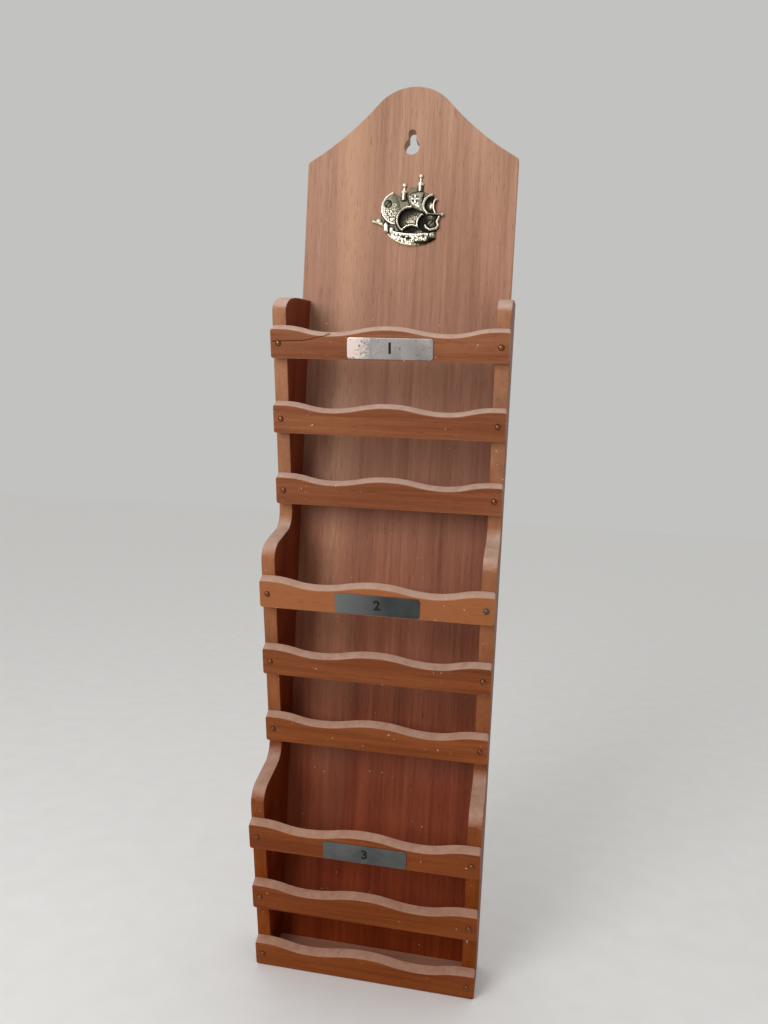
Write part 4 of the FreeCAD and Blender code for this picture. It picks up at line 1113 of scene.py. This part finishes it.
def dress():
    """Every piece of the rack."""
    board_wood = wood("board_wood", GRAIN_UP, BOARD_LIT_TOP, BOARD_SHADED_FOOT, BOARD_GLOSS, BOARD_LEVELS, PAINTED_SHEEN_BAND)
    panel_wood = wood("panel_wood", GRAIN_UP, SLAT_LIT_TOP, SLAT_SHADED_FOOT, PANEL_GLOSS, inner_shade=INNER_PAINTED_SHADE)
    slat_wood = wood("slat_wood", GRAIN_ACROSS, SLAT_LIT_TOP, SLAT_SHADED_FOOT, SLAT_GLOSS)
    floor_wood = wood("floor_wood", GRAIN_ACROSS, FLOOR_LIT_TONES, FLOOR_LIT_TONES, FLOOR_GLOSS)
    brass = plain_metal("pin_brass", *PIN_BRASS)
    steel = plain_metal("nail_steel", *NAIL_STEEL)
    casting = cast_metal()
    stamp = ink()
    back_board(board_wood)
    for name, (side, tone) in PANELS.items():
        side_panel(name, side, tone, panel_wood)
    for pocket, tones in SLAT_TONES.items():
        for place, tone in zip(SLATS, tones):
            slat(f"{pocket}_pocket_{place}_slat", tone, slat_wood)
        carried_over(f"{pocket}_pocket_floor", floor_wood)
    for number, (pocket, finish) in enumerate(PLATES.items(), start=1):
        metal = plate_metal(f"{pocket}_plate_metal", *finish)
        drawn = label_plate(f"{pocket}_label_plate", pocket == FOLDED_PLATE, metal)
        numeral(str(number), *drawn, stamp)
    pins("slat_pins", brass)
    pins("replacement_pin", steel)
    ship_emblem(casting)
    emblem_screws(casting)
    carried_over("back_nails", steel)


def camera():
    """The photograph's own view."""
    data = bpy.data.cameras.new("camera")
    data.sensor_width = SENSOR
    data.lens = FOCAL_PIXELS / IMAGE_HEIGHT * SENSOR
    data.clip_start = CLIP_START
    obj = placed("camera", data)
    obj.location = CAMERA_PLACE
    turn = Matrix.Rotation(CAMERA_YAW, 4, "Z")
    turn = turn @ Matrix.Rotation(math.pi / 2 + CAMERA_PITCH, 4, "X")
    turn = turn @ Matrix.Rotation(CAMERA_ROLL, 4, "Z")
    obj.rotation_euler = turn.to_euler()
    bpy.context.scene.camera = obj


def pale_floor():
    """A plain floor just under the rack."""
    mesh = bmesh.new()
    bmesh.ops.create_grid(mesh, x_segments=FLOOR_CELLS, y_segments=FLOOR_CELLS, size=FLOOR_HALF)
    floor = placed("floor", taken("floor", mesh))
    floor.location = (0, 0, cad_box[0].z - FLOOR_GAP)
    material, tree = new_material("floor_paper")
    colour = ramp(textured(tree, "paper"), PAPER_TONES, PAPER_STOPS)
    floor.data.materials.append(finished(material, colour, PAPER_ROUGHNESS))


def studio():
    """A pale surround, soft light from above, and a wide lamp in front on the left."""
    world = bpy.data.worlds.new("studio")
    bpy.context.scene.world = world
    world.use_nodes = True
    tree = world.node_tree
    tree.nodes.clear()
    path = node(tree, "LightPath").outputs
    seen = maths("MAXIMUM", path["Is Camera Ray"], path["Is Glossy Ray"])
    seen = maths("MAXIMUM", seen, path["Is Transmission Ray"])
    rising = parted(node(tree, "TexCoord").outputs["Generated"])[2]
    sky = node(tree, "Background", {"Color": SKY_COLOUR, "Strength": between(rising, *SKY_RANGE)})
    surround = node(tree, "Background", {"Color": SURROUND_COLOUR, "Strength": 1.0})
    both = node(tree, "MixShader", {0: seen, 1: sky.outputs[0], 2: surround.outputs[0]})
    node(tree, "OutputWorld", {"Surface": both.outputs[0]})
    data = bpy.data.lights.new("key", "AREA")
    data.energy, data.shape, data.size, data.size_y = LAMP_POWER, "RECTANGLE", LAMP_WIDTH, LAMP_HEIGHT
    lamp = placed("key", data)
    lamp.location = LAMP_PLACE
    lamp.rotation_euler = (LAMP_AIM - LAMP_PLACE).to_track_quat("-Z", "Y").to_euler()


dress()
camera()
pale_floor()
studio()
bpy.context.scene.view_settings.view_transform = "Standard"
